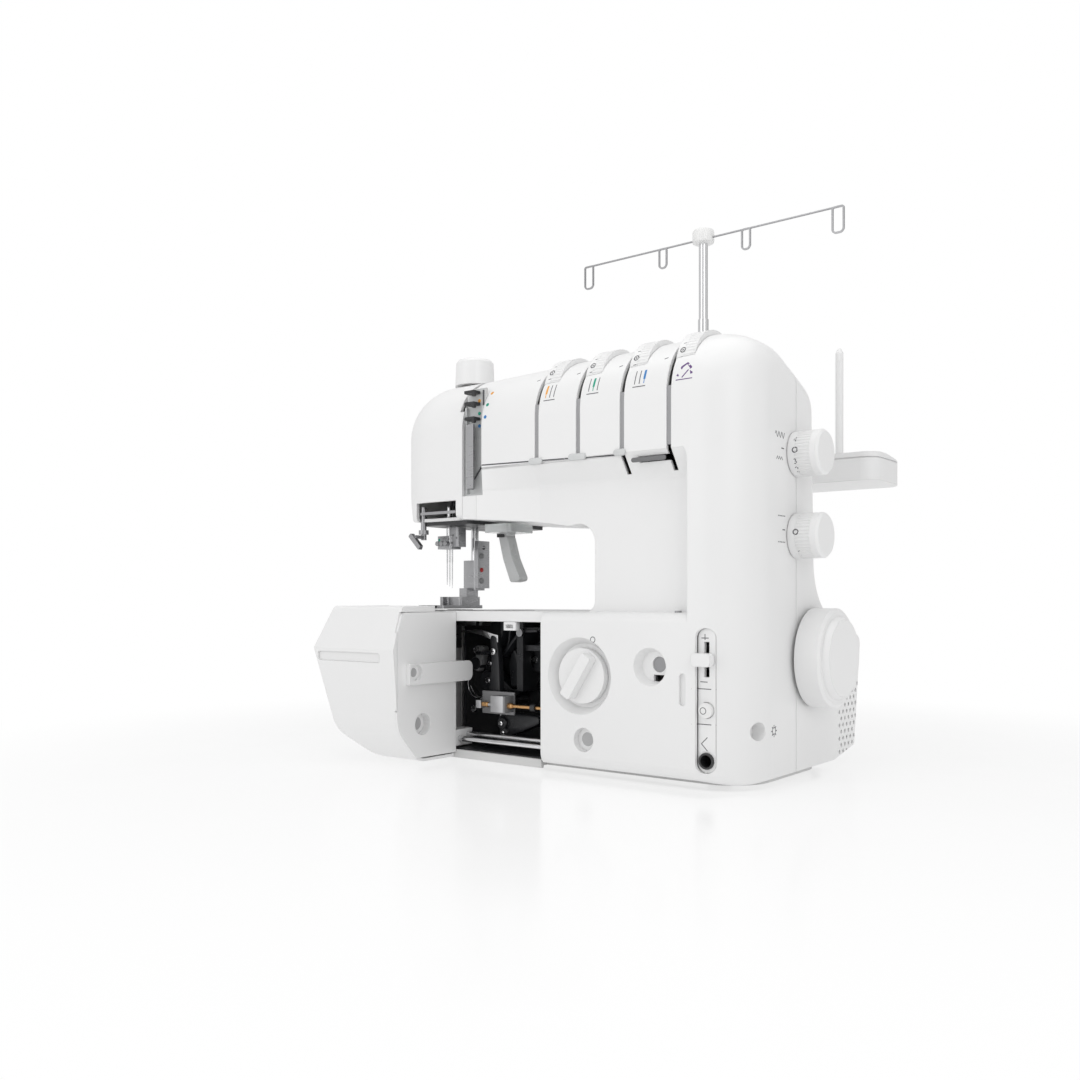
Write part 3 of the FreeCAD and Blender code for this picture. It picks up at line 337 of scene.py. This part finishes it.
def ribbon(points, width):
    """Outline of a strip of even width along a bent line."""
    line = [Vector(p) for p in points]
    left, right = [], []
    for i, point in enumerate(line):
        before, after = line[max(i - 1, 0)], line[min(i + 1, len(line) - 1)]
        tangent = (after - before).normalized()
        side = Vector((-tangent.y, tangent.x)) * width / 2
        left.append(point + side)
        right.append(point - side)
    return [tuple(p) for p in left + right[::-1]]


# A domed screw head's profile and height, and its recess, as shares of its radius.
PAN_HEAD = [(1, 0), (1, 0.35), (0.86, 0.62), (0.45, 0.78), (0, 0.82)]
SLOT_LIFT, SLOT_ARM, SLOT_HALF = 0.84, 0.62, 0.13


def pan_screw(shape, centre, radius):
    """Domed screw head with a rim, seen from the front."""
    shape.turned([(radius * r, radius * h) for r, h in PAN_HEAD], "y", centre, -1, 24)


def cross_slot(shape, centre, radius):
    """Painted shade: a dark cross laid on a screw's head where its recess is."""
    x, y, z = centre
    arm, half = radius * SLOT_ARM, radius * SLOT_HALF
    for long_u, long_v in ((arm, half), (half, arm)):
        shape.block(x - long_u, x + long_u, y - radius * SLOT_LIFT, y, z - long_v, z + long_v, 0)


# ---- looper compartment -----------------------------------------------------
# Place (x, y, z) and radius of each screw head.
COMPARTMENT_SCREWS = [(-298, 49, 94.5, 3.4), (-279.5, 46.5, 83, 2.6), (-282, 46.8, 67.5, 3.2),
                      (-259, 58, 88, 2.4), (-255, 33, 31, 2.6), (-253.5, 33.8, 22.5, 2.2),
                      (-222.5, 56, 86, 2.0), (-199, 62, 30, 2.6), (-300, 48, 40, 3.4)]


def looper_compartment():
    """Black castings, levers, shafts and wires that the open cover shows."""
    black = Shape()
    curve = [(-258, 127), (-260.5, 120), (-261.5, 110), (-263.5, 101), (-268.5, 95.5), (-276, 92.8),
             (-292, 92)]
    black.plate(ribbon(curve, 3.0), "xz", 40, 75.5, 0.6)
    inner_curve = [(-253, 124), (-255, 113), (-256.5, 103), (-260, 94), (-266, 88.5)]
    black.plate(ribbon(inner_curve, 2.4), "xz", 44, 75.5, 0.6)
    bridge = [(-221, 114), (-237, 113.4), (-243, 110.5), (-250.5, 102.5), (-257, 95)]
    black.plate(ribbon(bridge, 2.6), "xz", 41, 75.5, 0.6)
    black.plate([(-257, 116.5), (-190, 117.5), (-190, 114.5), (-257, 113.6)], "xz", 42, 75.5, 0.6)
    black.plate([(-251, 124), (-190, 125), (-190, 58, 6), (-232, 60, 10), (-247, 84, 6)], "xz", 62, 75.5, 0.8)
    black.turned([(13.5, 0), (13.5, 5), (12.6, 6), (0, 6)], "y", (-232, 62, 89.5), -1)
    black.turned([(5.2, 0), (5.2, 3), (4.4, 3.8), (0, 3.8)], "y", (-222.5, 60, 86), -1)
    black.plate([(-256, 62, 3), (-238.5, 66, 2), (-241.5, 83, 2), (-247, 88, 2), (-252, 97.5, 1.5),
                 (-255.5, 92, 2), (-258, 83, 2)], "xz", 47, 62, 1.2)
    black.turned([(9.5, -2), (9.5, 14), (8.2, 16), (0, 16)], "y", (-284, 63, 67), -1)
    black.turned([(6.5, 0), (6.5, 10), (5.2, 12), (0, 12)], "y", (-300, 60, 82), -1)
    black.plate([(-306, 96, 3), (-292, 90, 3), (-281, 72, 4), (-264, 60, 6), (-252, 60, 3), (-262, 49, 8),
                 (-296, 47, 10), (-310, 60, 6)], "xz", 58, 70, 1.5)
    black.done("looper_casting", "black_casting", "machine")

    lever = Shape()
    lever.plate([(-262, 38, 4), (-244, 40.5, 12), (-216, 39, 3), (-214, 33, 5), (-233, 25, 12),
                 (-252, 18.5, 5), (-261, 24, 4)], "xz", 36, 47, 1.6)
    lever.turned([(5.4, 0), (5.4, 3), (4.6, 4), (0, 4)], "y", (-255, 37, 31), -1)
    lever.turned([(4.4, 0), (4.4, 2.4), (3.6, 3.2), (0, 3.2)], "y", (-253.5, 37, 22.5), -1)
    lever.done("lower_lever", "black_casting", "machine")

    crank = Shape()
    crank.plate([(-300, 99, 3), (-289, 98, 3), (-292, 84, 6), (-297, 74, 2), (-301, 76, 2),
                 (-300.5, 86, 6)], "xz", 49, 57, 1.0)
    crank.done("crank_lever", "grey_paint", "machine")

    screws = Shape()
    slots = Shape()
    for x, y, z, radius in COMPARTMENT_SCREWS:
        pan_screw(screws, (x, y, z), radius)
        cross_slot(slots, (x, y, z), radius)
    screws.turned([(3.4, 0), (3.4, 0.8), (2.5, 0.8), (2.5, 0)], "y", (-235.5, 56, 87.5), -1)
    screws.turned([(4.6, 0), (4.6, 0.8), (3.7, 0.8), (3.7, 0)], "y", (-255, 37, 36), -1)
    screws.done("compartment_screws", "bright_steel", "machine")
    # Painted shade: a dark disc in the middle of the washer, where its hole is.
    slots.turned([(2.5, 0), (2.5, 0.6), (0, 0.6)], "y", (-235.5, 56, 87.5), -1)
    slots.done("compartment_screw_slot_shades", "dark_plastic", "machine")

    alloy = Shape()
    alloy.block(-251, -236.5, 13, 25, 43, 57.5, 0.5)
    alloy.block(-269, -263, 14, 20, 45.5, 52.5, 0.4)
    alloy.turned([(1.4, 0), (1.4, 12)], "x", (-263, 17, 49), 1)
    alloy.done("needle_thread_block", "cast_alloy", "machine")
    dark_face = Shape()
    dark_face.block(-236.6, -234.4, 12.6, 25.4, 43, 57.5, 0.4)
    dark_face.block(-271, -234, 25.2, 27.2, 40, 60, 0.6)
    dark_face.done("thread_block_back", "grey_paint", "machine")
    copper = Shape()
    copper.turned([(1.5, 0), (1.5, 45)], "x", (-234.5, 18, 49), 1, 20)
    copper.turned([(2.6, 0), (2.6, 4), (2.0, 4.6), (2.0, 6)], "x", (-234.4, 18, 49), 1, 20)
    copper.turned([(2.3, 0), (2.3, 5.5), (1.8, 6), (0, 6)], "x", (-262.4, 17, 49), 1, 20)
    copper.done("copper_shaft", "bronze", "machine")
    collar = Shape()
    collar.turned([(3.0, 0), (3.0, 5)], "x", (-209, 18, 49), 1, 24)
    collar.done("shaft_collar", "dark_plastic", "machine")

    gold = Shape()
    gold.tube([(-241, 59.4, 101), (-232, 59.2, 98.8), (-220, 59, 94), (-200, 59, 86)], 0.55)
    gold.done("guide_wire_brass", "brass", "machine")
    wire = Shape()
    wire.tube([(p[0], 56, p[1]) for p in arc((-296, 66), 17, 200, 320, 16)], 0.6)
    wire.tube([(p[0], 52, p[1]) for p in arc((-300, 62), 12, 150, 330, 16)], 0.6)
    wire.tube([(-243, 58, 99), (-239, 57.6, 92), (-238, 57.4, 84), (-238.6, 57.4, 78)], 0.8)
    wire.done("guide_wire_steel", "bright_steel", "machine")

    stack = Shape()
    stack.block(-303, -268, 58, 70, 124.4, 126.4, 0.3)
    stack.block(-303, -268, 57, 70, 121.2, 123.0, 0.3)
    stack.block(-303, -299, 57, 70, 117, 124, 0.3)
    stack.done("feed_carrier_bars", "ground_steel", "machine")


def looper_piece():
    """The looper: clamp hub, cranked arm and curved blade, instead of its plain CAD node."""
    px, pz = LOOPER_PIVOT
    arm = Shape()
    arm.turned([(10, 0), (10, 16), (9, 17.2), (0, 17.2)], "y", (px, 46, pz), -1)
    arm.plate([(px - 7, pz, 3), (px + 7, pz, 3), (px + 5.5, 84, 8), (px + 3, 108, 3), (px - 5, 111, 3),
               (px - 4, 84, 8)], "xz", 31, 38, 1.4)
    arm.plate([(px - 11, pz - 2, 2), (px - 11, pz + 6, 2), (px - 5, pz + 10, 2), (px + 2, pz - 6, 2)],
              "xz", 30, 44, 0.8)
    arm.done("looper_arm", "black_casting", "looper_assembly")
    blade = Shape()
    blade.plate([(px - 42, 112.3), (px - 30, 111.6, 20), (px - 16, 109.2, 20), (px + 4, 103),
                 (px + 4, 109.5), (px - 16, 114.2, 20), (px - 30, 113.8, 20)], "xz", 31.4, 33.8, 0.35)
    pan_screw(blade, (px, 31, 95), 3.4)
    pan_screw(blade, (px - 6.5, 30, pz + 3), 2.6)
    piece = blade.done("looper_blade", "bright_steel", "looper_assembly")
    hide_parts("looper")
    # Painted shade of the two screws' cross recesses.
    slot = Shape()
    cross_slot(slot, (px, 31, 95), 3.4)
    cross_slot(slot, (px - 6.5, 30, pz + 3), 2.6)
    slot.done("looper_screw_slot_shades", "dark_plastic", "looper_assembly")


# ---- printed marks ----------------------------------------------------------
def cad_tree():
    """Search tree over every CAD node, in metres."""
    points, faces = [], []
    for obj in frame["nodes"].values():
        start = len(points)
        points += [obj.matrix_world @ vertex.co for vertex in obj.data.vertices]
        faces += [[start + i for i in polygon.vertices] for polygon in obj.data.polygons]
    return BVHTree.FromPolygons(points, faces)


INK_LIFT = 0.08                 # mm that a mark stands above the surface
INK_DEPTH = 0.25                # mm that it reaches below it
CAST_FRONT = -200               # where rays start before the machine, and to its right
CAST_RIGHT = 100


class Marks(Shape):
    """Marks laid on the first CAD surface seen from the front, (x, z), or from the right, (y, z)."""

    def __init__(self, tree, side="front"):
        super().__init__()
        self.tree, self.side = tree, side

    def cast(self, u, v):
        """Point and outward normal of the surface behind (u, v)."""
        if self.side == "front":
            start, way = at(u, CAST_FRONT, v), Vector((0, 1, 0))
        else:
            start, way = at(CAST_RIGHT, u, v), Vector((-1, 0, 0))
        point, normal = self.tree.ray_cast(start, way)[:2]
        return point, -normal if normal.dot(way) > 0 else normal

    def stroke(self, points, width=0.7, closed=False):
        """Strip of even width along points."""
        line = [self.cast(*p) for p in points]
        count = len(line)
        part = bmesh.new()
        rings = []
        for i, (point, normal) in enumerate(line):
            before = line[i - 1][0] if (i or closed) else point
            after = line[(i + 1) % count][0] if (i < count - 1 or closed) else point
            across = (after - before).cross(normal).normalized() * width / 2 * MM
            top, low = normal * INK_LIFT * MM, -normal * INK_DEPTH * MM
            steps = (top - across, top + across, low + across, low - across)
            rings.append([part.verts.new(point + step) for step in steps])
        for i in range(count if closed else count - 1):
            here, there = rings[i], rings[(i + 1) % count]
            for k in range(4):
                part.faces.new([here[k], here[(k + 1) % 4], there[(k + 1) % 4], there[k]])
        if not closed:
            part.faces.new(rings[0])
            part.faces.new(rings[-1])
        self.add(part)
        return self

    def line(self, u0, v0, u1, v1, width=0.7, steps=4):
        points = [(u0 + (u1 - u0) * i / steps, v0 + (v1 - v0) * i / steps) for i in range(steps + 1)]
        return self.stroke(points, width)

    def ring(self, u, v, radius, width=0.5):
        """Circle drawn in 24 spans."""
        return self.stroke(arc((u, v), radius, 0, 345, 23), width, closed=True)

    def dot(self, u, v, radius):
        return self.ring(u, v, radius / 2, radius)

    def digit(self, number, u, v, height, width=0.6):
        """A figure whose lower left corner is (u, v)."""
        return self.stroke([(u + a * height, v + b * height) for a, b in DIGITS[number]], width)


# Strokes of the figures, as shares of their height.
DIGITS = {1: [(0.1, 0.78), (0.32, 1), (0.32, 0)],
          2: [(0.02, 0.8), (0.14, 0.97), (0.36, 1), (0.54, 0.86), (0.5, 0.62), (0.04, 0), (0.58, 0)],
          3: [(0.03, 0.93), (0.3, 1), (0.52, 0.84), (0.46, 0.6), (0.24, 0.54), (0.5, 0.45), (0.56, 0.2),
              (0.34, 0), (0.02, 0.07)],
          4: [(0.44, 0), (0.44, 1), (0, 0.3), (0.62, 0.3)]}
WHEEL_INK = ["ink_orange", "ink_green", "ink_blue", "ink_purple"]


def needle_icon(marks, bold, x, z, chosen):
    """Three needles side by side over a dash; the chosen one is coloured."""
    for i in range(3):
        shape = bold if i == chosen else marks
        left = x + 4.2 * i
        shape.line(left, z + 13, left, z + 5.5, 1.9 if i == chosen else 0.7)
        shape.line(left, z + 5.5, left, z + 2.2, 0.7)
    marks.line(x - 1.5, z, x + 10, z, 0.7)


# Plain strokes (x, z to x, z) on the control strip and over the dial.
PANEL_STROKES = [(-37, 112.9, -31, 112.9), (-34, 109.9, -34, 115.9), (-37.9, 80.4, -31.9, 80.4),
                 (-43, 75.2, -25, 75.2), (-43, 49, -25, 49), (-37, 34.5, -32, 39.5),
                 (-37, 34.5, -32, 29.5), (-132.4, 103, -132.4, 105.6)]
# Spans, start (x, z) and step (x, z) of the painted shadow line along the cover seam.
SEAM_SPANS, SEAM_START, SEAM_STEP = 102, (-249.5, 257.6), (1.4, -0.03)


def front_marks(tree):
    """Ticks, needle and looper icons, colour dots, the painted shadow line along the cover seam and the
    strip's signs.
    """
    grey = Marks(tree)
    for i, x in enumerate(WHEEL_X):
        tick = x - 16.7
        grey.line(tick - 1.5, 325.6, tick + 1.5, 326.4, 0.8)
        if i < 3:
            bold = Marks(tree)
            needle_icon(grey, bold, x - 1.5 + 1.6 * i, 305.5, i)
            bold.done(f"needle_mark_{i + 1}", WHEEL_INK[i], "machine")
    for ends in PANEL_STROKES:
        grey.line(*ends, 0.6)
    grey.ring(-132.4, 109.5, 2.2, 0.6)
    grey.ring(-34.2, 59.2, 2.4, 0.5)
    grey.done("front_marks", "ink_and_shade_grey", "machine")
    looper = Marks(tree)
    looper.stroke([(-56, 309), (-53, 316), (-49, 318.5), (-45.5, 315), (-44, 309.5)], 1.9)
    looper.line(-52, 307.5, -47, 313, 0.9)
    looper.line(-57, 306, -43, 306, 0.7)
    looper.done("looper_mark", "ink_purple", "machine")
    for i, z in enumerate((321, 310, 299)):
        Marks(tree).dot(-246.2, z, 1.6).done(f"thread_dot_{i + 1}", WHEEL_INK[i], "machine")
    # Painted shadow: a dark strip along the cover seam, where the lip shades the gap.
    seam = Marks(tree)
    seam.stroke([(SEAM_START[0] + SEAM_STEP[0] * i, SEAM_START[1] + SEAM_STEP[1] * i)
                 for i in range(SEAM_SPANS + 1)], 1.1)
    seam.done("cover_seam_shadow", "ink_and_shade_grey", "machine")


def wheel_marks(tree):
    """Reference ring and ticks on each tension wheel."""
    for i, x in enumerate(WHEEL_X):
        u = x - 3.6
        marks = Marks(tree)
        marks.ring(u, 331, 1.9, 0.9)
        marks.dot(u, 331, 0.7)
        marks.line(u - 1.2, 336.8, u + 1.2, 337, 0.6, 2)
        marks.line(u - 1.2, 325, u + 1.2, 325.2, 0.6, 2)
        marks.done(f"wheel_marks_{i + 1}", "ink_and_shade_grey", f"tension_dial_{i + 1}")


def side_marks(tree):
    """Stitch signs beside the two knobs and the toothed sign beside the service hole."""
    marks = Marks(tree, "right")
    marks.stroke([(51 + 1.0 * i, 267 + 2.3 * math.sin(i * 1.25)) for i in range(17)], 0.7)
    marks.line(61.5, 257, 66, 257, 0.8)
    marks.stroke([(53 + 1.8 * i, 248 + 2.4 * (i % 2)) for i in range(7)], 0.7)
    for z in (205.3, 185.3):
        for i in range(5):
            marks.line(56 + 2.6 * i, z, 57.6 + 2.6 * i, z, 0.8, 2)
    marks.line(63.5, 194.8, 68, 194.8, 0.8)
    marks.ring(48.7, 42.4, 2.6, 0.6)
    for i in range(8):
        angle = math.pi * i / 4
        u, v = math.cos(angle), math.sin(angle)
        marks.line(48.7 + 3 * u, 42.4 + 3 * v, 48.7 + 4.6 * u, 42.4 + 4.6 * v, 0.9, 2)
    marks.done("side_marks", "ink_and_shade_grey", "machine")


# Body, place of the index ring and the figures (number, x, foot) of each side knob.
KNOBS = [("length_knob", (6.8, 256.1), [(4, 5, 262.9), (3, 5.4, 245.8), (2, 5.2, 240)]),
         ("ratio_knob", (7.4, 193.2), [(1, 7, 175.6)])]


def knob_marks(tree):
    """Index ring and figures on the front of the two knobs at the right wall."""
    for body, marker, figures in KNOBS:
        marks = Marks(tree)
        marks.ring(*marker, 1.9, 0.9)
        for number, x, foot in figures:
            marks.digit(number, x, foot, 3.4, 0.6)
        marks.done(f"{body}_marks", "ink_and_shade_grey", body)


def needle_area_marks(tree):
    """Painted shade where the needle clamp's holes are, its spot, screws and red spot of the presser foot's
    strip.
    """
    # Painted shade: dark dots where the clamp's holes are.
    holes = Marks(tree)
    for x, z in ((-307, 200.5), (-303, 198), (-311, 197), (-308, 193.5)):
        holes.dot(x, z, 1.0)
    holes.done("clamp_hole_shades", "shade_grey", "needle_assembly")
    spot = Marks(tree)
    spot.dot(-322.6, 196.6, 1.2)
    spot.done("threader_spot", "ink_green", "threader")
    screws = Shape()
    for z in (182, 159):
        screws.turned([(2.6, -0.4), (2.6, 0.6), (2.0, 1.1), (0, 1.1)], "x", (-296, 53, z), 1, 24)
    screws.done("foot_strip_screws", "grey_paint", "presser_assembly")
    red = Shape()
    red.turned([(2.1, -0.4), (2.1, 0.5), (1.7, 0.8), (0, 0.8)], "x", (-296, 53, 169), 1, 24)
    red.done("foot_release_spot", "ink_red", "presser_assembly")


def recess_shades(tree):
    """Painted shade: grey dots on the floors of the round recesses and holes."""
    # Painted shade on the floor of the round recess at the front.
    light = Marks(tree)
    light.dot(-141.5, 29, 5.6)
    light.done("recess_floor", "recess_shade_grey", "machine")
    # Painted shade, darker, in the deep knee socket.
    deep = Marks(tree)
    deep.dot(-32.5, 22, 4.4)
    deep.done("knee_socket_shade", "shade_grey", "machine")
    # Painted shade in the round recesses of the looper cover.
    cover = Marks(tree, "right")
    cover.dot(-48, 79.5, 3.8)
    cover.dot(-36, 34.6, 5.6)
    cover.done("cover_recess_shades", "recess_shade_grey", "looper_door")


# ---- small pieces on the casing ---------------------------------------------
def front_recess_shading():
    """Painted shade: a grey disc at the bottom of the cone recess."""
    shade_disc = Shape()
    shade_disc.turned([(5.9, 0), (5.9, 2.4), (0, 2.4)], "y", (-75.5, 9.2, 91.6), 1, 32)
    shade_disc.done("cone_recess_shade", "slot_shade_grey", "machine")


CLIP_X = [(-197, -183), (-156, -139), (-112, -101)]


def thread_clips():
    """Clear clips under the first three thread slots, and a painted shade strip beside the fourth."""
    clips = Shape()
    for left, right in CLIP_X:
        clips.plate([(left, 253.4, 2.4), (right, 253.4, 2.4), (right, 258.8, 2.4), (left, 258.8, 2.4)],
                    "xz", -1.4, 0.6, 0.4)
    clips.done("thread_clips", "frost_plastic", "machine")
    # Painted shade: a dark strip beside the fourth slot.
    shade_band = Shape()
    shade_band.plate([(-96, 247.2, 1.8), (-65, 247.2, 1.8), (-65, 250.8, 1.8), (-96, 250.8, 1.8)],
                 "xz", -0.5, 0.6, 0.2)
    shade_band.done("fourth_slot_shade", "shade_grey", "machine")


def slot_shade_strips():
    """Painted shade: grey strips set deep in the straight lower part of the four thread slots."""
    slot_shades = Shape()
    for x in WHEEL_X:
        slot_shades.block(x - 10.9, x - 7.1, 0.9, 2.6, 258.5, 303, 0)
    slot_shades.done("slot_shade_strips", "slot_shade_grey", "machine")


def channel_pieces():
    """Painted shade line along the threading channel's edge, and the channel's coloured spots."""
    # Painted shade: a dark strip along the channel's edge, where its wall shades the floor.
    edge = Shape()
    line = [(-252.6, 324), (-252.6, 270), (-254.5, 258), (-262, 248), (-268.5, 243)]
    edge.plate(ribbon(line, 1.0), "xz", 5.4, 6.6, 0.1)
    edge.done("channel_edge_shade", "ink_and_shade_grey", "machine")
    for i, z in enumerate((315, 304, 293)):
        spot = Shape()
        spot.turned([(1.5, 0), (1.5, 0.8), (1.1, 1.1), (0, 1.1)], "y", (-257.5, 6.6, z), -1, 20)
        spot.done(f"channel_spot_{i + 1}", WHEEL_INK[i], "machine")


def mast_cap():
    """White plastic cap over the top of the mast."""
    cap = Shape()
    x, y = MAST
    profile = [(4.6, -1), (10.2, 0), (10.6, 1.2), (10.6, 10.4), (9.8, 12.2), (0, 12.4)]
    cap.turned(profile, "z", (x, y, 491), 1, 48)
    cap.done("mast_cap", "button_plastic", "mast_head")


# ---- stage, lights, camera --------------------------------------------------
CAMERA_AT = Vector((0.520, -0.7885, 0.141))
CAMERA_TURN = math.radians(38.0)
CAMERA_LENS = 34.5
CAMERA_SHIFT = 0.0556


def make_camera():
    data = bpy.data.cameras.new("camera")
    data.lens = CAMERA_LENS
    data.sensor_width = 36.0
    data.shift_y = CAMERA_SHIFT
    data.clip_start = 0.01
    camera = bpy.data.objects.new("camera", data)
    camera.location = CAMERA_AT
    camera.rotation_euler = (math.pi / 2, 0, CAMERA_TURN)
    bpy.context.scene.collection.objects.link(camera)
    bpy.context.scene.camera = camera


def area_light(name, place, target, size, power):
    data = bpy.data.lights.new(name, "AREA")
    data.energy = power
    data.size = size
    lamp = bpy.data.objects.new(name, data)
    lamp.location = place
    lamp.rotation_euler = (Vector(target) - Vector(place)).to_track_quat("-Z", "Y").to_euler()
    bpy.context.scene.collection.objects.link(lamp)


FLOOR_REACH = 8.0
FLOOR_CLEAR = (0.32, 0.72)      # metres from the middle over which the floor fades to plain white
FLOOR_GLOW = 0.62               # share of plain white under the machine


def floor_material():
    """White floor with a faint reflection, which fades to plain white away from the machine."""
    material = surface("floor_white", (0.95, 0.95, 0.95), 0.004, 0.16, 0.02, 0.0, 40.0, cloud=3.0)
    nodes, links = material.node_tree.nodes, material.node_tree.links
    coords = nodes.new("ShaderNodeTexCoord")
    length = nodes.new("ShaderNodeVectorMath")
    length.operation = "LENGTH"
    links.new(coords.outputs["Object"], length.inputs[0])
    fade = nodes.new("ShaderNodeMapRange")
    fade.interpolation_type = "SMOOTHSTEP"
    fade.inputs["From Min"].default_value = FLOOR_CLEAR[0]
    fade.inputs["From Max"].default_value = FLOOR_CLEAR[1]
    fade.inputs["To Min"].default_value = FLOOR_GLOW
    links.new(length.outputs["Value"], fade.inputs["Value"])
    white = nodes.new("ShaderNodeEmission")
    mix = nodes.new("ShaderNodeMixShader")
    links.new(fade.outputs["Result"], mix.inputs["Fac"])
    links.new(nodes["Principled BSDF"].outputs["BSDF"], mix.inputs[1])
    links.new(white.outputs["Emission"], mix.inputs[2])
    links.new(mix.outputs["Shader"], nodes["Material Output"].inputs["Surface"])
    return material


STUDIO_LIGHT = 0.74
# Brightness of the studio by how far a direction points to the right, with dark bands for
# bright metal to reflect.
BANDS = [(0.05, 1.0), (0.14, 0.15), (0.24, 1.0), (0.52, 0.85), (0.60, 0.12), (0.70, 1.0)]


def make_world():
    """White behind the machine; the light it gives comes in bands."""
    world = bpy.data.worlds.new("studio")
    world.use_nodes = True
    nodes, links = world.node_tree.nodes, world.node_tree.links
    back = nodes["Background"]
    back.inputs["Color"].default_value = (1, 1, 1, 1)
    back.inputs["Strength"].default_value = 1.0
    light = nodes.new("ShaderNodeBackground")
    light.inputs["Strength"].default_value = STUDIO_LIGHT
    coords = nodes.new("ShaderNodeTexCoord")
    split = nodes.new("ShaderNodeSeparateXYZ")
    links.new(coords.outputs["Generated"], split.inputs["Vector"])
    bands = nodes.new("ShaderNodeValToRGB")
    bands.color_ramp.elements[0].position = BANDS[0][0]
    for reach, _ in BANDS[1:-1]:
        bands.color_ramp.elements.new(reach)
    bands.color_ramp.elements[-1].position = BANDS[-1][0]
    for element, (_, value) in zip(bands.color_ramp.elements, BANDS):
        element.color = (value, value, value, 1)
    links.new(split.outputs["X"], bands.inputs["Fac"])
    links.new(bands.outputs["Color"], light.inputs["Color"])
    path = nodes.new("ShaderNodeLightPath")
    mix = nodes.new("ShaderNodeMixShader")
    links.new(path.outputs["Is Camera Ray"], mix.inputs["Fac"])
    links.new(light.outputs["Background"], mix.inputs[1])
    links.new(back.outputs["Background"], mix.inputs[2])
    links.new(mix.outputs["Shader"], nodes["World Output"].inputs["Surface"])
    bpy.context.scene.world = world
    bpy.context.scene.view_settings.view_transform = "Standard"


# Name, place, aim, size in metres and power of each lamp.
LAMPS = [("top", (0.15, -0.15, 1.5), (0, 0, 0.0), 1.6, 9),
         ("right", (1.5, -1.0, 0.9), (0, 0, 0.2), 0.9, 4),
         ("front", (-0.5, -1.8, 0.6), (0, 0, 0.2), 1.4, 5)]


def make_stage():
    """Floor, world and lamps."""
    mesh = bpy.data.meshes.new("floor")
    reach = FLOOR_REACH
    mesh.from_pydata([(-reach, -reach, 0), (reach, -reach, 0), (reach, reach, 0), (-reach, reach, 0)], [],
                     [(0, 1, 2, 3)])
    floor = bpy.data.objects.new("floor", mesh)
    bpy.context.scene.collection.objects.link(floor)
    floor.data.materials.append(floor_material())
    make_world()
    for lamp in LAMPS:
        area_light(*lamp)


make_camera()
dress_cad_nodes()
looper_compartment()
looper_piece()
marked = cad_tree()
front_marks(marked)
wheel_marks(marked)
side_marks(marked)
knob_marks(marked)
needle_area_marks(marked)
recess_shades(marked)
front_recess_shading()
thread_clips()
slot_shade_strips()
channel_pieces()
mast_cap()
make_stage()
